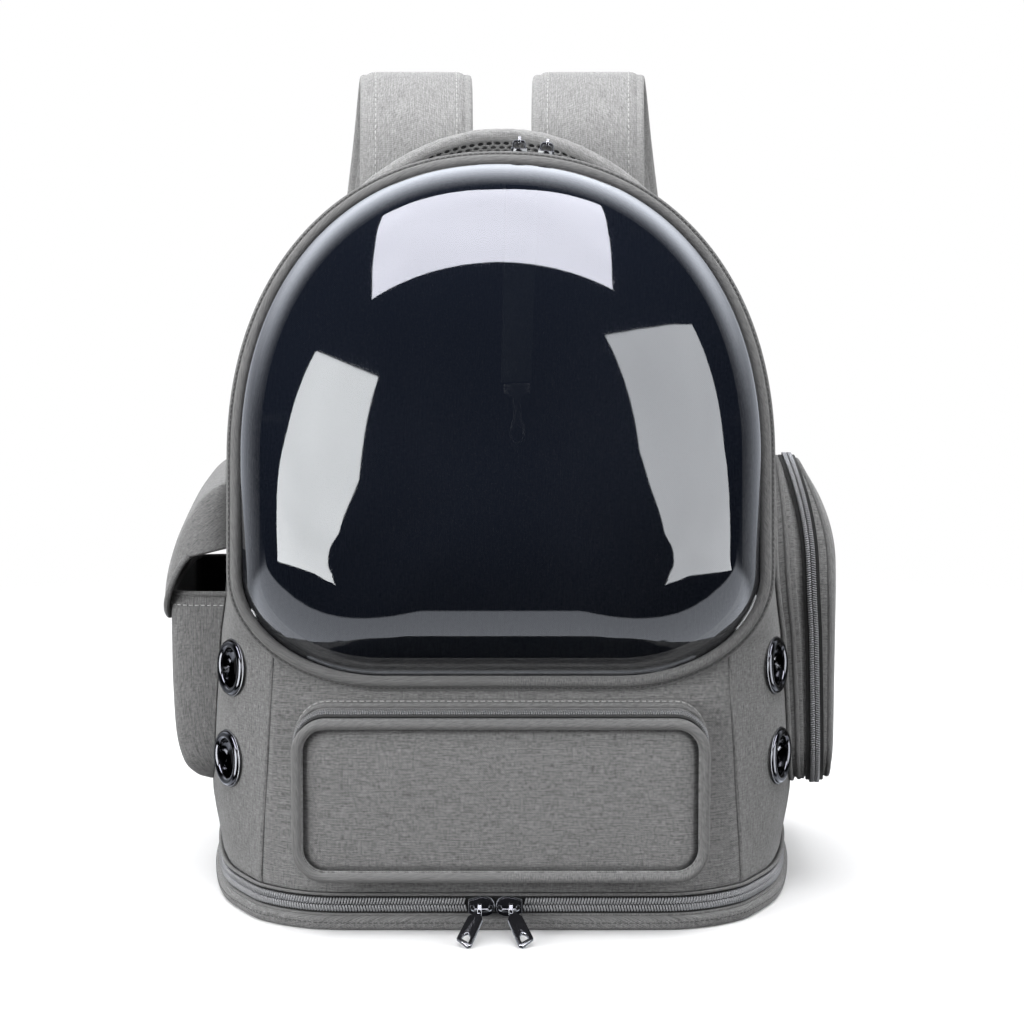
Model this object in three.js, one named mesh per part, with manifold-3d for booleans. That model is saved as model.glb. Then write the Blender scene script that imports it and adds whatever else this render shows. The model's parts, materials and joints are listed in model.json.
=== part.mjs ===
// A bubble pet carrier backpack: a padded fabric shell on a zipped base tray, with a deep smoked window,
// a front pocket, a flap pocket and a zipped pocket at the sides, a carry handle, shoulder straps and vents.
// Millimetres, +Z up, the window faces -Y, and the origin is the middle of the tray's underside.
import * as THREE from "three";
import { mergeVertices } from "three/addons/utils/BufferGeometryUtils.js";
import Module from "manifold-3d";

const wasm = await Module();
wasm.setup();

// Walls and clearances
const gap = 0.4; // between sewn neighbours, which only touch on the real bag
const seamGap = 2; // where two walls meet at an angle
const seatGap = 1.2; // under a pocket that bridges a curved panel
const shellWall = 2.5;
const pocketWall = 2;
const windowWall = 2;

// Base tray, its zipper, and the bottom edge of the shell
const trayHeight = 8;
const trayReach = 4; // how far the tray stands out past the shell
const trayRound = 2.5;
const zipperTall = 11.6;
const zipperTape = 1.2;
const coilWidth = 5;
const coilRise = 2;
const shellBottom = trayHeight + zipperTall + 2 * gap;

// Shell
const halfWidth = 168;
const frontReach = 131;
const backReach = 128;
const frontFlat = 88; // half the width of the front that is straight
const frontDip = 21; // how far the front has turned back at its side seams
const cornerReach = 70; // how far forward the middle of a rounded corner lies
const rearReach = 65;
const backPanelThick = 8;
const backPanelLean = 16; // how far the back panel's top leans forward
const shellTop = 412.5;
const shellArchPower = 2.1;
const shellInset = 2; // how far the shell's edge lies in from the frame's, round the arch
const backTop = 396;

// Window frame, in its own leaning plane
const windowHalfWidth = 140;
const windowHeight = 275;
const windowSpring = 115; // height in the plane where the sides turn into the arch
const windowCornerWidth = 76;
const windowCornerHeight = 55;
const windowBottom = 137;
const windowReach = 116;
const windowLean = THREE.MathUtils.degToRad(8.6);
const archPower = 2.2;
const bandWidth = 6;
const bandDepth = 4;
const pipingRadius = 2.7;
const domeDepth = 82;
const flangeWidth = 1;
const seamTopWidth = 124; // half the distance between the front seams at the frame

// Front pocket
const frontPocketHalfWidth = 109.5;
const frontPocketBottom = 32.5;
const frontPocketTop = 117.5;
const frontPocketDepth = 32;
const frontPocketRound = 16;
const frontPocketRise = 6; // how much higher the pocket's top meets the panel

// Side pockets
const sidePocketY = 15;
const sidePocketHalf = 67;
const sidePocketBottom = 62;
const zipPocketTop = 238;
const zipPocketFace = halfWidth + 20; // from the middle of the bag
const zipPocketFall = 16; // how far its face leans in at the top
const zipPocketUpright = 186; // height up to which its face is upright
const zipPocketRound = 22;
const flapPocketTop = 171;
const flapPocketFace = halfWidth + 17.5;
const flapPocketRound = 16;
const flapTop = 234;
const flapBottom = 149;
const flapFront = 198; // height of the flap's edge where it meets the shell
const flapFace = halfWidth + 23;
const flapWall = 2.4;

// Vents
const ventRadius = 16;
const ventHole = 10.5;
const ventHeights = [83, 134];
const ventReach = { left: 79, right: 72 };

// Handle and shoulder straps
const handleHalf = 91;
const handleWidth = 30;
const handleThick = 7;
const handleTop = backTop + 25;
const handleY = 94;
const handleTilt = THREE.MathUtils.degToRad(28);
const strapWidth = 66;
const strapThick = 9;
const strapInner = 19; // from the middle to a strap's inner edge
const strapTop = backTop + 63;
const strapRootDrop = 95; // from backTop to the level that a strap's heights start from
const strapLoop = 78; // how far a strap stands out behind the back panel
const webWidth = 25;
const webThick = 1.8;

// Zipper sliders and pull tabs
const sliderLength = 14;
const sliderWidth = 10.6;
const sliderThick = 3.4;
const crownRise = 6.4;
const crownWire = 1.1;
const pullLength = 29;
const pullWidth = 9;
const pullThick = 2;
const eyeHole = 2.1;
const eyeRing = 1.7;
const slidersMeet = -3;
const pullSplay = THREE.MathUtils.degToRad(18);
const pullLift = THREE.MathUtils.degToRad(62.3); // how far a base pull leans out from hanging, on the floor
const topPullScale = 0.64;

// Inner tether
const tetherWidth = 19;
const tetherX = 12;
const tetherY = 20;
const tetherDrop = 2.1; // below the top panel's underside
const tetherBottom = 282;
const clipLength = 38;

const X = new THREE.Vector3(1, 0, 0);
const Y = new THREE.Vector3(0, 1, 0);
const Z = new THREE.Vector3(0, 0, 1);
const at = (x, y, z) => new THREE.Vector3(x, y, z);
const mix = (a, b, k) => a + (b - a) * k;
const mid = (p, q, k) => p.clone().lerp(q, k);
const steps = (n) => Array.from({ length: n + 1 }, (_, i) => i / n);
const mirrored = (p) => at(-p.x, p.y, p.z);

// A closed solid from triangles of points: shared points are merged and the faces turned outwards.
function solidFrom(triangles) {
  const kept = triangles.filter(
    ([a, b, c]) => b.clone().sub(a).cross(c.clone().sub(a)).length() > 1e-7,
  );
  const volume = kept.reduce((sum, [a, b, c]) => sum + a.dot(b.clone().cross(c)), 0);
  const facing = volume < 0 ? kept.map(([a, b, c]) => [a, c, b]) : kept;
  return new THREE.BufferGeometry().setFromPoints(facing.flat());
}

// Two triangles over four points, split along the shorter diagonal.
const quad = (a, b, c, d) =>
  a.distanceTo(c) <= b.distanceTo(d) + 1e-6
    ? [
        [a, b, c],
        [a, c, d],
      ]
    : [
        [a, b, d],
        [b, c, d],
      ];

// Skins a row of sections of equal length; open ends are closed by a fan round their middle.
function loft(sections, closed = false) {
  const faces = [];
  const count = sections[0].length;
  const last = closed ? sections.length : sections.length - 1;
  for (let i = 0; i < last; i++) {
    const [near, far] = [sections[i], sections[(i + 1) % sections.length]];
    for (let j = 0; j < count; j++) {
      const k = (j + 1) % count;
      faces.push(...quad(near[j], near[k], far[k], far[j]));
    }
  }
  if (!closed) {
    for (const [ring, back] of [
      [sections[0], true],
      [sections[sections.length - 1], false],
    ]) {
      const middle = ring.reduce((sum, p) => sum.add(p), at(0, 0, 0)).divideScalar(count);
      ring.forEach((p, j) => {
        const q = ring[(j + 1) % count];
        faces.push(back ? [middle, q, p] : [middle, p, q]);
      });
    }
  }
  return solidFrom(faces);
}

// Outward normals of a grid of points, on the side away from the point inside.
function gridNormals(rows, inside, closed) {
  const count = rows[0].length;
  const lastRow = rows.length - 1;
  const point = (i, j) =>
    rows[Math.min(Math.max(i, 0), lastRow)][
      closed ? (j + count) % count : Math.min(Math.max(j, 0), count - 1)
    ];
  const normals = rows.map((row, i) =>
    row.map((_, j) => {
      const along = point(i + 1, j).clone().sub(point(i - 1, j));
      const across = point(i, j + 1).clone().sub(point(i, j - 1));
      return along.cross(across).normalize();
    }),
  );
  for (const [end, next] of [
    [0, 1],
    [lastRow, lastRow - 1],
  ]) {
    if (rows[end][0].distanceTo(rows[end][1]) < 1e-6) {
      const pole = normals[next].reduce((sum, n) => sum.add(n), at(0, 0, 0)).normalize();
      normals[end].forEach((n) => n.copy(pole));
    }
  }
  let side = 0;
  rows.forEach((row, i) =>
    row.forEach((p, j) => (side += Math.sign(normals[i][j].dot(p.clone().sub(inside))))),
  );
  if (side < 0) normals.flat().forEach((n) => n.negate());
  return normals;
}

// A wall of even thickness under a grid of outer points. A closed sheet's rows are loops, and a row whose
// points coincide is a pole.
function sheet(rows, thickness, inside, closed = false) {
  const normals = gridNormals(rows, inside, closed);
  const under = rows.map((row, i) =>
    row.map((p, j) => p.clone().addScaledVector(normals[i][j], -thickness)),
  );
  const faces = [];
  const count = rows[0].length;
  const lastRow = rows.length - 1;
  const lastColumn = closed ? count : count - 1;
  for (let j = 0; j < lastColumn; j++) {
    const k = (j + 1) % count;
    for (let i = 0; i < lastRow; i++) {
      faces.push(...quad(rows[i][j], rows[i][k], rows[i + 1][k], rows[i + 1][j]));
      faces.push(...quad(under[i][j], under[i + 1][j], under[i + 1][k], under[i][k]));
    }
    const isPole = (i) => rows[i][0].distanceTo(rows[i][1]) < 1e-6;
    if (!isPole(0)) faces.push(...quad(rows[0][k], rows[0][j], under[0][j], under[0][k]));
    if (!isPole(lastRow)) {
      faces.push(...quad(rows[lastRow][j], rows[lastRow][k], under[lastRow][k], under[lastRow][j]));
    }
  }
  if (!closed) {
    for (let i = 0; i < lastRow; i++) {
      faces.push(...quad(rows[i][0], rows[i + 1][0], under[i + 1][0], under[i][0]));
      faces.push(
        ...quad(
          rows[i + 1][count - 1],
          rows[i][count - 1],
          under[i][count - 1],
          under[i + 1][count - 1],
        ),
      );
    }
  }
  return solidFrom(faces);
}

// A section [across, out] carried along a path, with the way out given at each point.
function sweep(path, outs, section, closed = false) {
  const last = path.length - 1;
  return loft(
    path.map((p, i) => {
      const before = path[closed ? (i + last) % path.length : Math.max(i - 1, 0)];
      const after = path[closed ? (i + 1) % path.length : Math.min(i + 1, last)];
      const along = after.clone().sub(before).normalize();
      const across = along.clone().cross(outs[i]).normalize();
      const out = across.clone().cross(along).normalize();
      return section.map(([a, o]) =>
        p.clone().addScaledVector(across, a).addScaledVector(out, o),
      );
    }),
    closed,
  );
}

const circle = (radius, sides) =>
  steps(sides)
    .slice(0, -1)
    .map((k) => [radius * Math.cos(2 * Math.PI * k), radius * Math.sin(2 * Math.PI * k)]);

const strip = (width, thick) => [
  [-width / 2, 0],
  [width / 2, 0],
  [width / 2, thick],
  [-width / 2, thick],
];

// A zipper's tape with the raised coil along its middle.
const zipperSection = (width, rise = coilRise) => [
  [-width / 2, 0],
  [width / 2, 0],
  [width / 2, zipperTape],
  [coilWidth / 2, zipperTape],
  [coilWidth / 4, zipperTape + rise],
  [-coilWidth / 4, zipperTape + rise],
  [-coilWidth / 2, zipperTape],
  [-width / 2, zipperTape],
];

function manifoldOf(geometry) {
  const bare = geometry.clone();
  bare.deleteAttribute("normal");
  bare.deleteAttribute("uv");
  const merged = mergeVertices(bare, 1e-4);
  return new wasm.Manifold(
    new wasm.Mesh({
      numProp: 3,
      vertProperties: merged.attributes.position.array,
      triVerts: new Uint32Array(merged.index.array),
    }),
  );
}

function geometryOf(manifold) {
  const { vertProperties, triVerts } = manifold.getMesh();
  return new THREE.BufferGeometry()
    .setAttribute("position", new THREE.BufferAttribute(vertProperties, 3))
    .setIndex(new THREE.BufferAttribute(triVerts, 1));
}

const join = (...geometries) =>
  geometryOf(geometries.map(manifoldOf).reduce((a, b) => a.add(b)));
const cut = (geometry, tool) => geometryOf(manifoldOf(geometry).subtract(manifoldOf(tool)));

// Turns and moves a geometry so that its +Z looks along a direction and its origin sits at a place.
function standing(geometry, place, along) {
  const turn = new THREE.Quaternion().setFromUnitVectors(Z, along);
  return geometry.applyQuaternion(turn).translate(place.x, place.y, place.z);
}

// The window's plane: a is sideways, b is up the plane, and n stands out of it to the front.
const windowPoint = (a, b, n) =>
  at(
    a,
    -windowReach + b * Math.sin(windowLean) - n * Math.cos(windowLean),
    windowBottom + b * Math.cos(windowLean) + n * Math.sin(windowLean),
  );
const windowOut = windowPoint(0, 0, 1).sub(windowPoint(0, 0, 0));
const springZ = windowPoint(0, windowSpring, 0).z;
const arch = (reach, rise, turn, power = archPower) => [
  reach * Math.cos(turn) ** (2 / power),
  rise * Math.sin(turn) ** (2 / power),
];

// The window's outline, grown outwards, as [a, b] from the bottom middle up the right side to the top.
function windowHalf(grow) {
  const width = windowHalfWidth + grow;
  const [cornerA, cornerB] = [windowCornerWidth + grow, windowCornerHeight + grow];
  const bottom = [
    [0, -grow],
    [(width - cornerA) / 2, -grow],
  ];
  const corner = steps(5).map((k) => {
    const turn = (k * Math.PI) / 2;
    return [
      width - cornerA + cornerA * Math.sin(turn),
      cornerB - grow - cornerB * Math.cos(turn),
    ];
  });
  const side = [[width, (cornerB - grow + windowSpring) / 2]];
  const top = steps(9).map((k) => {
    const [a, b] = arch(width, windowHeight + grow - windowSpring, (k * Math.PI) / 2);
    return [a, windowSpring + b];
  });
  return [...bottom, ...corner, ...side, ...top];
}

function windowLoop(grow) {
  const right = windowHalf(grow);
  const left = right.slice(1, -1).reverse();
  return [...right, ...left.map(([a, b]) => [-a, b])];
}

const windowPath = (grow, n) => windowLoop(grow).map(([a, b]) => windowPoint(a, b, n));

// Half the frame's outer width at a height in its plane, below the spring.
function frameHalfAt(b) {
  const [cornerA, cornerB] = [windowCornerWidth + bandWidth, windowCornerHeight + bandWidth];
  const below = Math.min(Math.max((cornerB - bandWidth - b) / cornerB, 0), 1);
  return windowHalfWidth + bandWidth - cornerA * (1 - Math.sqrt(1 - below * below));
}

// The frame's outer edge below the spring: height in the plane at a distance from the middle.
function frameBottomAt(a) {
  const [cornerA, cornerB] = [windowCornerWidth + bandWidth, windowCornerHeight + bandWidth];
  const past = Math.max(Math.abs(a) - (windowHalfWidth + bandWidth - cornerA), 0) / cornerA;
  return cornerB - bandWidth - cornerB * Math.sqrt(1 - past * past);
}

const shellSeat = -bandDepth - gap; // where the shell's edge lies behind the frame
const seamTopB = frameBottomAt(seamTopWidth);
const seamTopZ = windowPoint(0, seamTopB, shellSeat).z;

// Widths of the shell's side as shares of halfWidth, at heights that are shares of the side's height.
const sideRows = [
  { up: 0.0, corner: 0.899, middle: 0.964, rear: 0.976, back: 0.952 },
  { up: 0.14, corner: 0.926, middle: 1.0, rear: 1.0, back: 0.964 },
  { up: 0.29, corner: 0.926, middle: 0.99, rear: 0.99, back: 0.958 },
  { up: 0.43, corner: 0.916, middle: 0.973, rear: 0.976, back: 0.952 },
  { up: 0.55, corner: 0.905, middle: 0.956, rear: 0.964, back: 0.943 },
  { up: 0.75, corner: 0.888, middle: 0.93, rear: 0.946, back: 0.93 },
  { up: 1.0, corner: 0.872, middle: 0.911, rear: 0.929, back: 0.908 },
];

function sideShare(z, column) {
  const up = Math.min(Math.max((z - shellBottom) / (springZ - shellBottom), 0), 1);
  const i = Math.max(sideRows.findIndex((row) => row.up >= up), 1);
  const [low, high] = [sideRows[i - 1], sideRows[i]];
  return mix(low[column], high[column], (up - low.up) / (high.up - low.up));
}

const backY = (z) => backReach - (backPanelLean * (z - shellBottom)) / (backTop - shellBottom);

// The seam or frame edge that a side panel starts from, at a height.
function frontEdge(z) {
  if (z < seamTopZ) {
    const k = (z - shellBottom) / (seamTopZ - shellBottom);
    const low = at(seamTopWidth + trayReach * 2, frontDip - frontReach, shellBottom);
    return mid(low, windowPoint(seamTopWidth, seamTopB, shellSeat), k);
  }
  const b = seamTopB + (z - seamTopZ) / Math.cos(windowLean);
  const inset = shellInset * THREE.MathUtils.smoothstep(b, seamTopB, windowSpring);
  return windowPoint(frameHalfAt(b) - inset, b, shellSeat);
}

// A right side section from the front edge round to the back panel.
function sideSection(z) {
  const width = (column) => halfWidth * sideShare(z, column);
  return new THREE.CatmullRomCurve3([
    frontEdge(z),
    at(width("corner"), -cornerReach, z),
    at(width("middle"), 0, z),
    at(width("rear"), rearReach, z),
    at(width("back"), backY(z), z),
  ]);
}

// How far the shell's side stands out at a depth and a height.
function sideAt(y, z) {
  if (z > springZ) {
    const rise = Math.min((z - springZ) / (shellTop - springZ), 1);
    return sideAt(y, springZ) * (1 - rise ** shellArchPower) ** (1 / shellArchPower);
  }
  const points = sideSection(z).getPoints(40);
  const i = Math.max(points.findIndex((p) => p.y > y), 1);
  const [p, q] = [points[i - 1], points[i]];
  return mix(p.x, q.x, (y - p.y) / (q.y - p.y));
}

// A point on the right side's surface with its outward normal.
function sideSurface(y, z) {
  const reach = 2;
  const point = at(sideAt(y, z), y, z);
  const along = at(sideAt(y + reach, z), y + reach, z).sub(point);
  const up = at(sideAt(y, z + reach), y, z + reach).sub(point);
  return { point, out: along.cross(up).normalize() };
}

const insideShell = at(0, 0, (shellBottom + shellTop) / 2);
const frontPanelY = (x) =>
  frontDip * Math.max((Math.abs(x) - frontFlat) / (seamTopWidth + 2 * trayReach - frontFlat), 0) ** 2 -
  frontReach;

// The shell's bottom edge as a closed loop, from the front middle round the right side.
function bottomLoop(grow) {
  const seam = frontEdge(shellBottom);
  const front = [0, frontFlat / 2, frontFlat, (frontFlat + seam.x) / 2].map((x) =>
    at(x, frontPanelY(x), 0),
  );
  const side = sideSection(shellBottom)
    .getPoints(8)
    .map((p) => at(p.x, p.y, 0));
  const rear = side[side.length - 1];
  const backEdge = backReach + backPanelThick;
  const back = [
    at(rear.x - gap, backEdge - backPanelThick / 4, 0),
    at(rear.x - backPanelThick, backEdge, 0),
    at(rear.x / 2, backEdge, 0),
    at(0, backEdge, 0),
  ];
  const right = [...front, ...side, ...back];
  const loop = [...right, ...right.slice(1, -1).reverse().map(mirrored)];
  return loop.map((p, i) => {
    const before = loop[(i + loop.length - 1) % loop.length];
    const after = loop[(i + 1) % loop.length];
    const out = after.clone().sub(before).cross(Z).normalize();
    return p.clone().addScaledVector(out, grow);
  });
}

const raised = (loop, z) => loop.map((p) => at(p.x, p.y, z));

function baseTray() {
  return loft([
    raised(bottomLoop(trayReach - trayRound), 0),
    raised(bottomLoop(trayReach - trayRound * 0.3), trayRound * 0.4),
    raised(bottomLoop(trayReach), trayRound * 1.2),
    raised(bottomLoop(trayReach), trayHeight - trayRound / 2),
    raised(bottomLoop(trayReach - trayRound * 0.6), trayHeight),
  ]);
}

// The ring of tape and coil between the tray and the shell.
const zipperSeat = 0.6; // the tape's outer face, out from the shell's bottom edge
function baseZipper() {
  const low = trayHeight + gap;
  const middle = low + zipperTall / 2;
  const profile = [
    [-zipperTape, low],
    [0, low],
    [0, middle - coilWidth / 2],
    [coilRise, middle - coilWidth / 4],
    [coilRise, middle + coilWidth / 4],
    [0, middle + coilWidth / 2],
    [0, low + zipperTall],
    [-zipperTape, low + zipperTall],
  ];
  const rings = profile.map(([grow, z]) => raised(bottomLoop(zipperSeat + grow), z));
  return loft(
    rings[0].map((_, i) => rings.map((ring) => ring[i])),
    true,
  );
}

// A point of the front panel: k runs from seam to seam, up from the tray's zipper to the frame.
function frontSpot(k, up) {
  const seam = frontEdge(shellBottom).x;
  const low = at(k * (seam - seamGap), frontPanelY(k * seam), shellBottom);
  const a = k * (seamTopWidth - seamGap);
  return mid(low, windowPoint(a, frameBottomAt(a), shellSeat), up);
}

// The panel between the two front seams, from the tray zipper up to the frame.
function frontPanel() {
  const columns = steps(16).map((k) => 2 * k - 1);
  return sheet(
    steps(4).map((up) =>
      columns.map((k) => frontSpot(k, up)),
    ),
    shellWall,
    insideShell,
  );
}

const frameHeights = windowHalf(bandWidth)
  .map(([, b]) => b)
  .filter((b) => b > seamTopB + 1 && b < windowSpring - 1)
  .map((b) => seamTopZ + (b - seamTopB) * Math.cos(windowLean));
const sideHeights = [
  ...steps(4).map((k) => mix(shellBottom, seamTopZ, k)),
  ...frameHeights,
  mix(frameHeights[frameHeights.length - 1], springZ, 0.55),
  springZ - gap,
];

// A side panel with its two vent holes.
function sidePanel(side) {
  const flip = side < 0 ? mirrored : (p) => p;
  const rows = sideHeights.map((z) => sideSection(z).getPoints(10).map(flip));
  let panel = sheet(rows, shellWall, insideShell);
  for (const z of ventHeights) {
    const { point, out } = sideSurface(-ventReach[side < 0 ? "left" : "right"], z);
    const hole = new THREE.CylinderGeometry(
      ventHole + 2 * gap + 1,
      ventHole + 2 * gap + 1,
      shellWall * 6,
      16,
    ).rotateX(Math.PI / 2);
    panel = cut(panel, standing(hole, flip(point), flip(out)));
  }
  return panel;
}

// A section of the top panel at a turn of the arch, 0 at the right spring.
function topSection(turn) {
  const [frameA, frameB] = arch(
    windowHalfWidth + bandWidth - shellInset,
    windowHeight + bandWidth - shellInset - windowSpring,
    turn,
  );
  const spot = (column, y, top) => {
    const reach = halfWidth * sideRows[sideRows.length - 1][column];
    const [x, z] = arch(reach, top - springZ, turn, shellArchPower);
    return at(x, y, springZ + z);
  };
  return new THREE.CatmullRomCurve3([
    windowPoint(frameA, windowSpring + frameB, shellSeat),
    spot("corner", -cornerReach * 0.5, shellTop),
    spot("middle", cornerReach * 0.2, mix(shellTop, backTop, 0.1)),
    spot("rear", rearReach, mix(shellTop, backTop, 0.55)),
    spot("back", backY(springZ + arch(1, backTop - springZ, turn, shellArchPower)[1]), backTop),
  ]);
}

function topPanel() {
  const right = steps(9).map((k) => topSection((k * Math.PI) / 2).getPoints(7));
  const raise = right[0].map((p) => at(p.x, p.y, p.z + gap));
  const half = [raise, ...right.slice(1)];
  const left = half
    .slice(0, -1)
    .reverse()
    .map((row) => row.map(mirrored));
  return sheet([...half, ...left], shellWall, insideShell);
}

// The padded panel against the wearer's back.
function backPanel() {
  const low = [shellBottom, ...sideHeights.slice(1)].map((z) => [
    halfWidth * sideShare(z, "back"),
    z,
  ]);
  const top = steps(9)
    .slice(1)
    .map((k) => {
      const [x, z] = arch(
        halfWidth * sideRows[sideRows.length - 1].back,
        backTop - springZ,
        (k * Math.PI) / 2,
        shellArchPower,
      );
      return [x, springZ + z];
    });
  const right = [...low, ...top];
  const loop = [...right, ...right.slice(0, -1).reverse().map(([x, z]) => [-x, z])];
  const middle = springZ * 0.8;
  const ring = (shrink, deep) =>
    loop.map(([x, z]) => {
      const share = 1 - shrink / halfWidth;
      const height = Math.max(middle + (z - middle) * share, shellBottom);
      return at(x * share, backY(Math.min(height, backTop)) + gap + deep, height);
    });
  return loft([ring(0, 0), ring(0, backPanelThick * 0.55), ring(4, backPanelThick)]);
}

// The flat binding round the window and the round piping on it.
function frameBand() {
  const inner = windowPath(gap, 0);
  const rings = [inner, windowPath(bandWidth, 0), windowPath(bandWidth, -bandDepth)];
  rings.push(windowPath(gap, -bandDepth));
  return loft(
    inner.map((_, i) => rings.map((ring) => ring[i])),
    true,
  );
}

function framePiping() {
  const path = windowPath(pipingRadius + gap, pipingRadius + gap);
  return sweep(
    path,
    path.map(() => windowOut),
    circle(pipingRadius, 6),
    true,
  );
}

// How the bubble grows from its rim (reach 1, rise 0) to its middle, at the sides and top and at the bottom.
const domeRows = [
  { reach: 0.997, rise: 0.1, bottomReach: 0.975, bottomRise: 0.08 },
  { reach: 0.985, rise: 0.3, bottomReach: 0.93, bottomRise: 0.2 },
  { reach: 0.96, rise: 0.5, bottomReach: 0.865, bottomRise: 0.36 },
  { reach: 0.915, rise: 0.67, bottomReach: 0.79, bottomRise: 0.53 },
  { reach: 0.84, rise: 0.8, bottomReach: 0.69, bottomRise: 0.7 },
  { reach: 0.72, rise: 0.89, bottomReach: 0.56, bottomRise: 0.84 },
  { reach: 0.45, rise: 0.965, bottomReach: 0.36, bottomRise: 0.95 },
  { reach: 0, rise: 1, bottomReach: 0, bottomRise: 1 },
];
const domeCentre = windowSpring * 0.95;

function domeWindow() {
  const seat = -bandDepth - gap;
  const rim = windowLoop(-gap);
  const flange = windowPath(flangeWidth, seat);
  const rows = domeRows.map(({ reach, rise, bottomReach, bottomRise }) =>
    rim.map(([a, b]) => {
      const low = THREE.MathUtils.smoothstep(domeCentre - b, 0, domeCentre);
      const share = mix(reach, bottomReach, low);
      return windowPoint(
        a * share,
        domeCentre + (b - domeCentre) * share,
        seat + (domeDepth - seat) * mix(rise, bottomRise, low),
      );
    }),
  );
  const corner = windowPath(-gap, seat);
  return sheet([flange, corner, ...rows], windowWall, windowPoint(0, domeCentre, -300), true);
}

// A rounded rectangle as [across, up] from the middle of its bottom edge, anticlockwise.
function roundedLoop(half, low, high, round) {
  const corners = [
    [half - round, low + round, -90],
    [half - round, high - round, 0],
    [round - half, high - round, 90],
    [round - half, low + round, 180],
  ];
  const loop = corners.flatMap(([a, b, from]) =>
    steps(4).map((k) => {
      const turn = THREE.MathUtils.degToRad(from + 90 * k);
      return [a + round * Math.cos(turn), b + round * Math.sin(turn)];
    }),
  );
  const middle = (low + high) / 2;
  const right = [...loop.slice(0, 5), [half, middle], ...loop.slice(5, 10)];
  const left = [...loop.slice(10, 15), [-half, middle], ...loop.slice(15)];
  return [[0, low], ...right, [0, high], ...left];
}

// The front panel's outer surface at a place.
function frontSurface(x, z) {
  let [k, up] = [x / seamTopWidth, 0.5];
  for (let i = 0; i < 6; i++) {
    up = (z - shellBottom) / (frontSpot(k, 1).z - shellBottom);
    k = x / mix(frontSpot(1, 0).x, frontSpot(1, 1).x, up);
  }
  return frontSpot(k, up).y;
}

const frontPocketFace = () => frontSurface(0, frontPocketTop) - frontPocketDepth;

// Rings of the front pocket: how far each lies from the panel (0) to the face (1) and how much smaller it is.
const frontPocketRows = [
  { out: 0, shrink: 0, lift: 1 },
  { out: 0.35, shrink: 0.5, lift: 0.75 },
  { out: 0.85, shrink: 1, lift: 0.2 },
  { out: 1, shrink: 3, lift: 0 },
  { out: 1.08, shrink: 18, lift: 0 },
];

function frontPocketRing({ out, shrink, lift }, grow = 0) {
  const middle = (frontPocketBottom + frontPocketTop) / 2;
  const loop = roundedLoop(
    frontPocketHalfWidth - shrink + grow,
    frontPocketBottom + shrink - grow,
    frontPocketTop - shrink + grow,
    frontPocketRound - Math.min(shrink, frontPocketRound / 2) + grow,
  );
  return loop.map(([x, z]) => {
    const high = z > middle ? z + frontPocketRise * lift : z;
    return at(x, mix(frontSurface(x, high) - seatGap, frontPocketFace(), out), high);
  });
}

function frontPocket() {
  const rows = frontPocketRows.map((row) => frontPocketRing(row));
  const centre = at(0, rows[rows.length - 1][0].y, (frontPocketBottom + frontPocketTop) / 2);
  rows.push(rows[0].map(() => centre.clone()));
  return sheet(rows, pocketWall, at(0, 0, centre.z), true);
}

// Piping on the rim of the front pocket's face.
function frontPocketPiping() {
  const row = { out: 1, shrink: 3, lift: 0 };
  const offset = (pipingRadius + gap) * Math.SQRT1_2;
  const path = frontPocketRing(row, offset).map((p) => at(p.x, p.y - offset, p.z));
  return sweep(
    path,
    path.map(() => at(0, -1, 0)),
    circle(pipingRadius, 5),
    true,
  );
}

// The ways out of a wall along a line on it, from the lines on both sides of that line.
function wallOuts(path, before, after, inside) {
  const last = path.length - 1;
  return path.map((p, i) => {
    const along = path[Math.min(i + 1, last)].clone().sub(path[Math.max(i - 1, 0)]);
    const out = after[i].clone().sub(before[i]).cross(along).normalize();
    return out.dot(p.clone().sub(inside)) < 0 ? out.negate() : out;
  });
}

// The zipper over the top of the front pocket, from one side to the other.
const frontZipperRow = { out: 0.5, shrink: 0.65, lift: 0.6 };
function frontPocketZipper() {
  const line = (out, lift) =>
    frontPocketRing({ ...frontZipperRow, out, lift }, gap + 0.5).slice(6, -5);
  const path = line(frontZipperRow.out, frontZipperRow.lift);
  const centre = at(0, path[0].y, (frontPocketBottom + frontPocketTop) / 2);
  const outs = wallOuts(path, line(0.35, 0.75), line(0.65, 0.45), centre);
  return sweep(path, outs, zipperSection(coilWidth * 1.6));
}

// The loop of cord on the front pocket's slider, at the left end of its zipper.
function frontPocketPull() {
  const x = -frontPocketHalfWidth + 0.8;
  const z = mix(frontPocketBottom, frontPocketTop, 0.42);
  const y = mix(frontSurface(x, z), frontPocketFace(), 0.55);
  const bend = steps(6).map((k) => {
    const turn = Math.PI * (k - 0.5);
    return at(x - 1.6 * Math.cos(turn) - 1.4, y, z + 5 * Math.sin(turn));
  });
  return sweep(
    bend,
    bend.map(() => at(0, -1, 0)),
    circle(1, 5),
  );
}

// The zipped side pocket's outline, [y, z], from the middle of its bottom edge.
function zipPocketLoop(shrink) {
  const half = sidePocketHalf - shrink;
  const low = sidePocketBottom + shrink;
  const spring = zipPocketTop - sidePocketHalf * 1.1;
  const rise = zipPocketTop - shrink - spring;
  const round = zipPocketRound - Math.min(shrink, zipPocketRound / 2);
  const corner = steps(3).map((k) => {
    const turn = (k * Math.PI) / 2;
    return [half - round + round * Math.sin(turn), low + round - round * Math.cos(turn)];
  });
  const top = steps(6).map((k) => {
    const turn = (k * Math.PI) / 2;
    return [half * Math.cos(turn), spring + rise * Math.sin(turn)];
  });
  const right = [[0, low], ...corner, [half, mix(low, spring, 0.55)], ...top];
  const left = right.slice(1, -1).reverse();
  return [...right, ...left.map(([y, z]) => [-y, z])].map(([y, z]) => [y + sidePocketY, z]);
}

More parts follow.
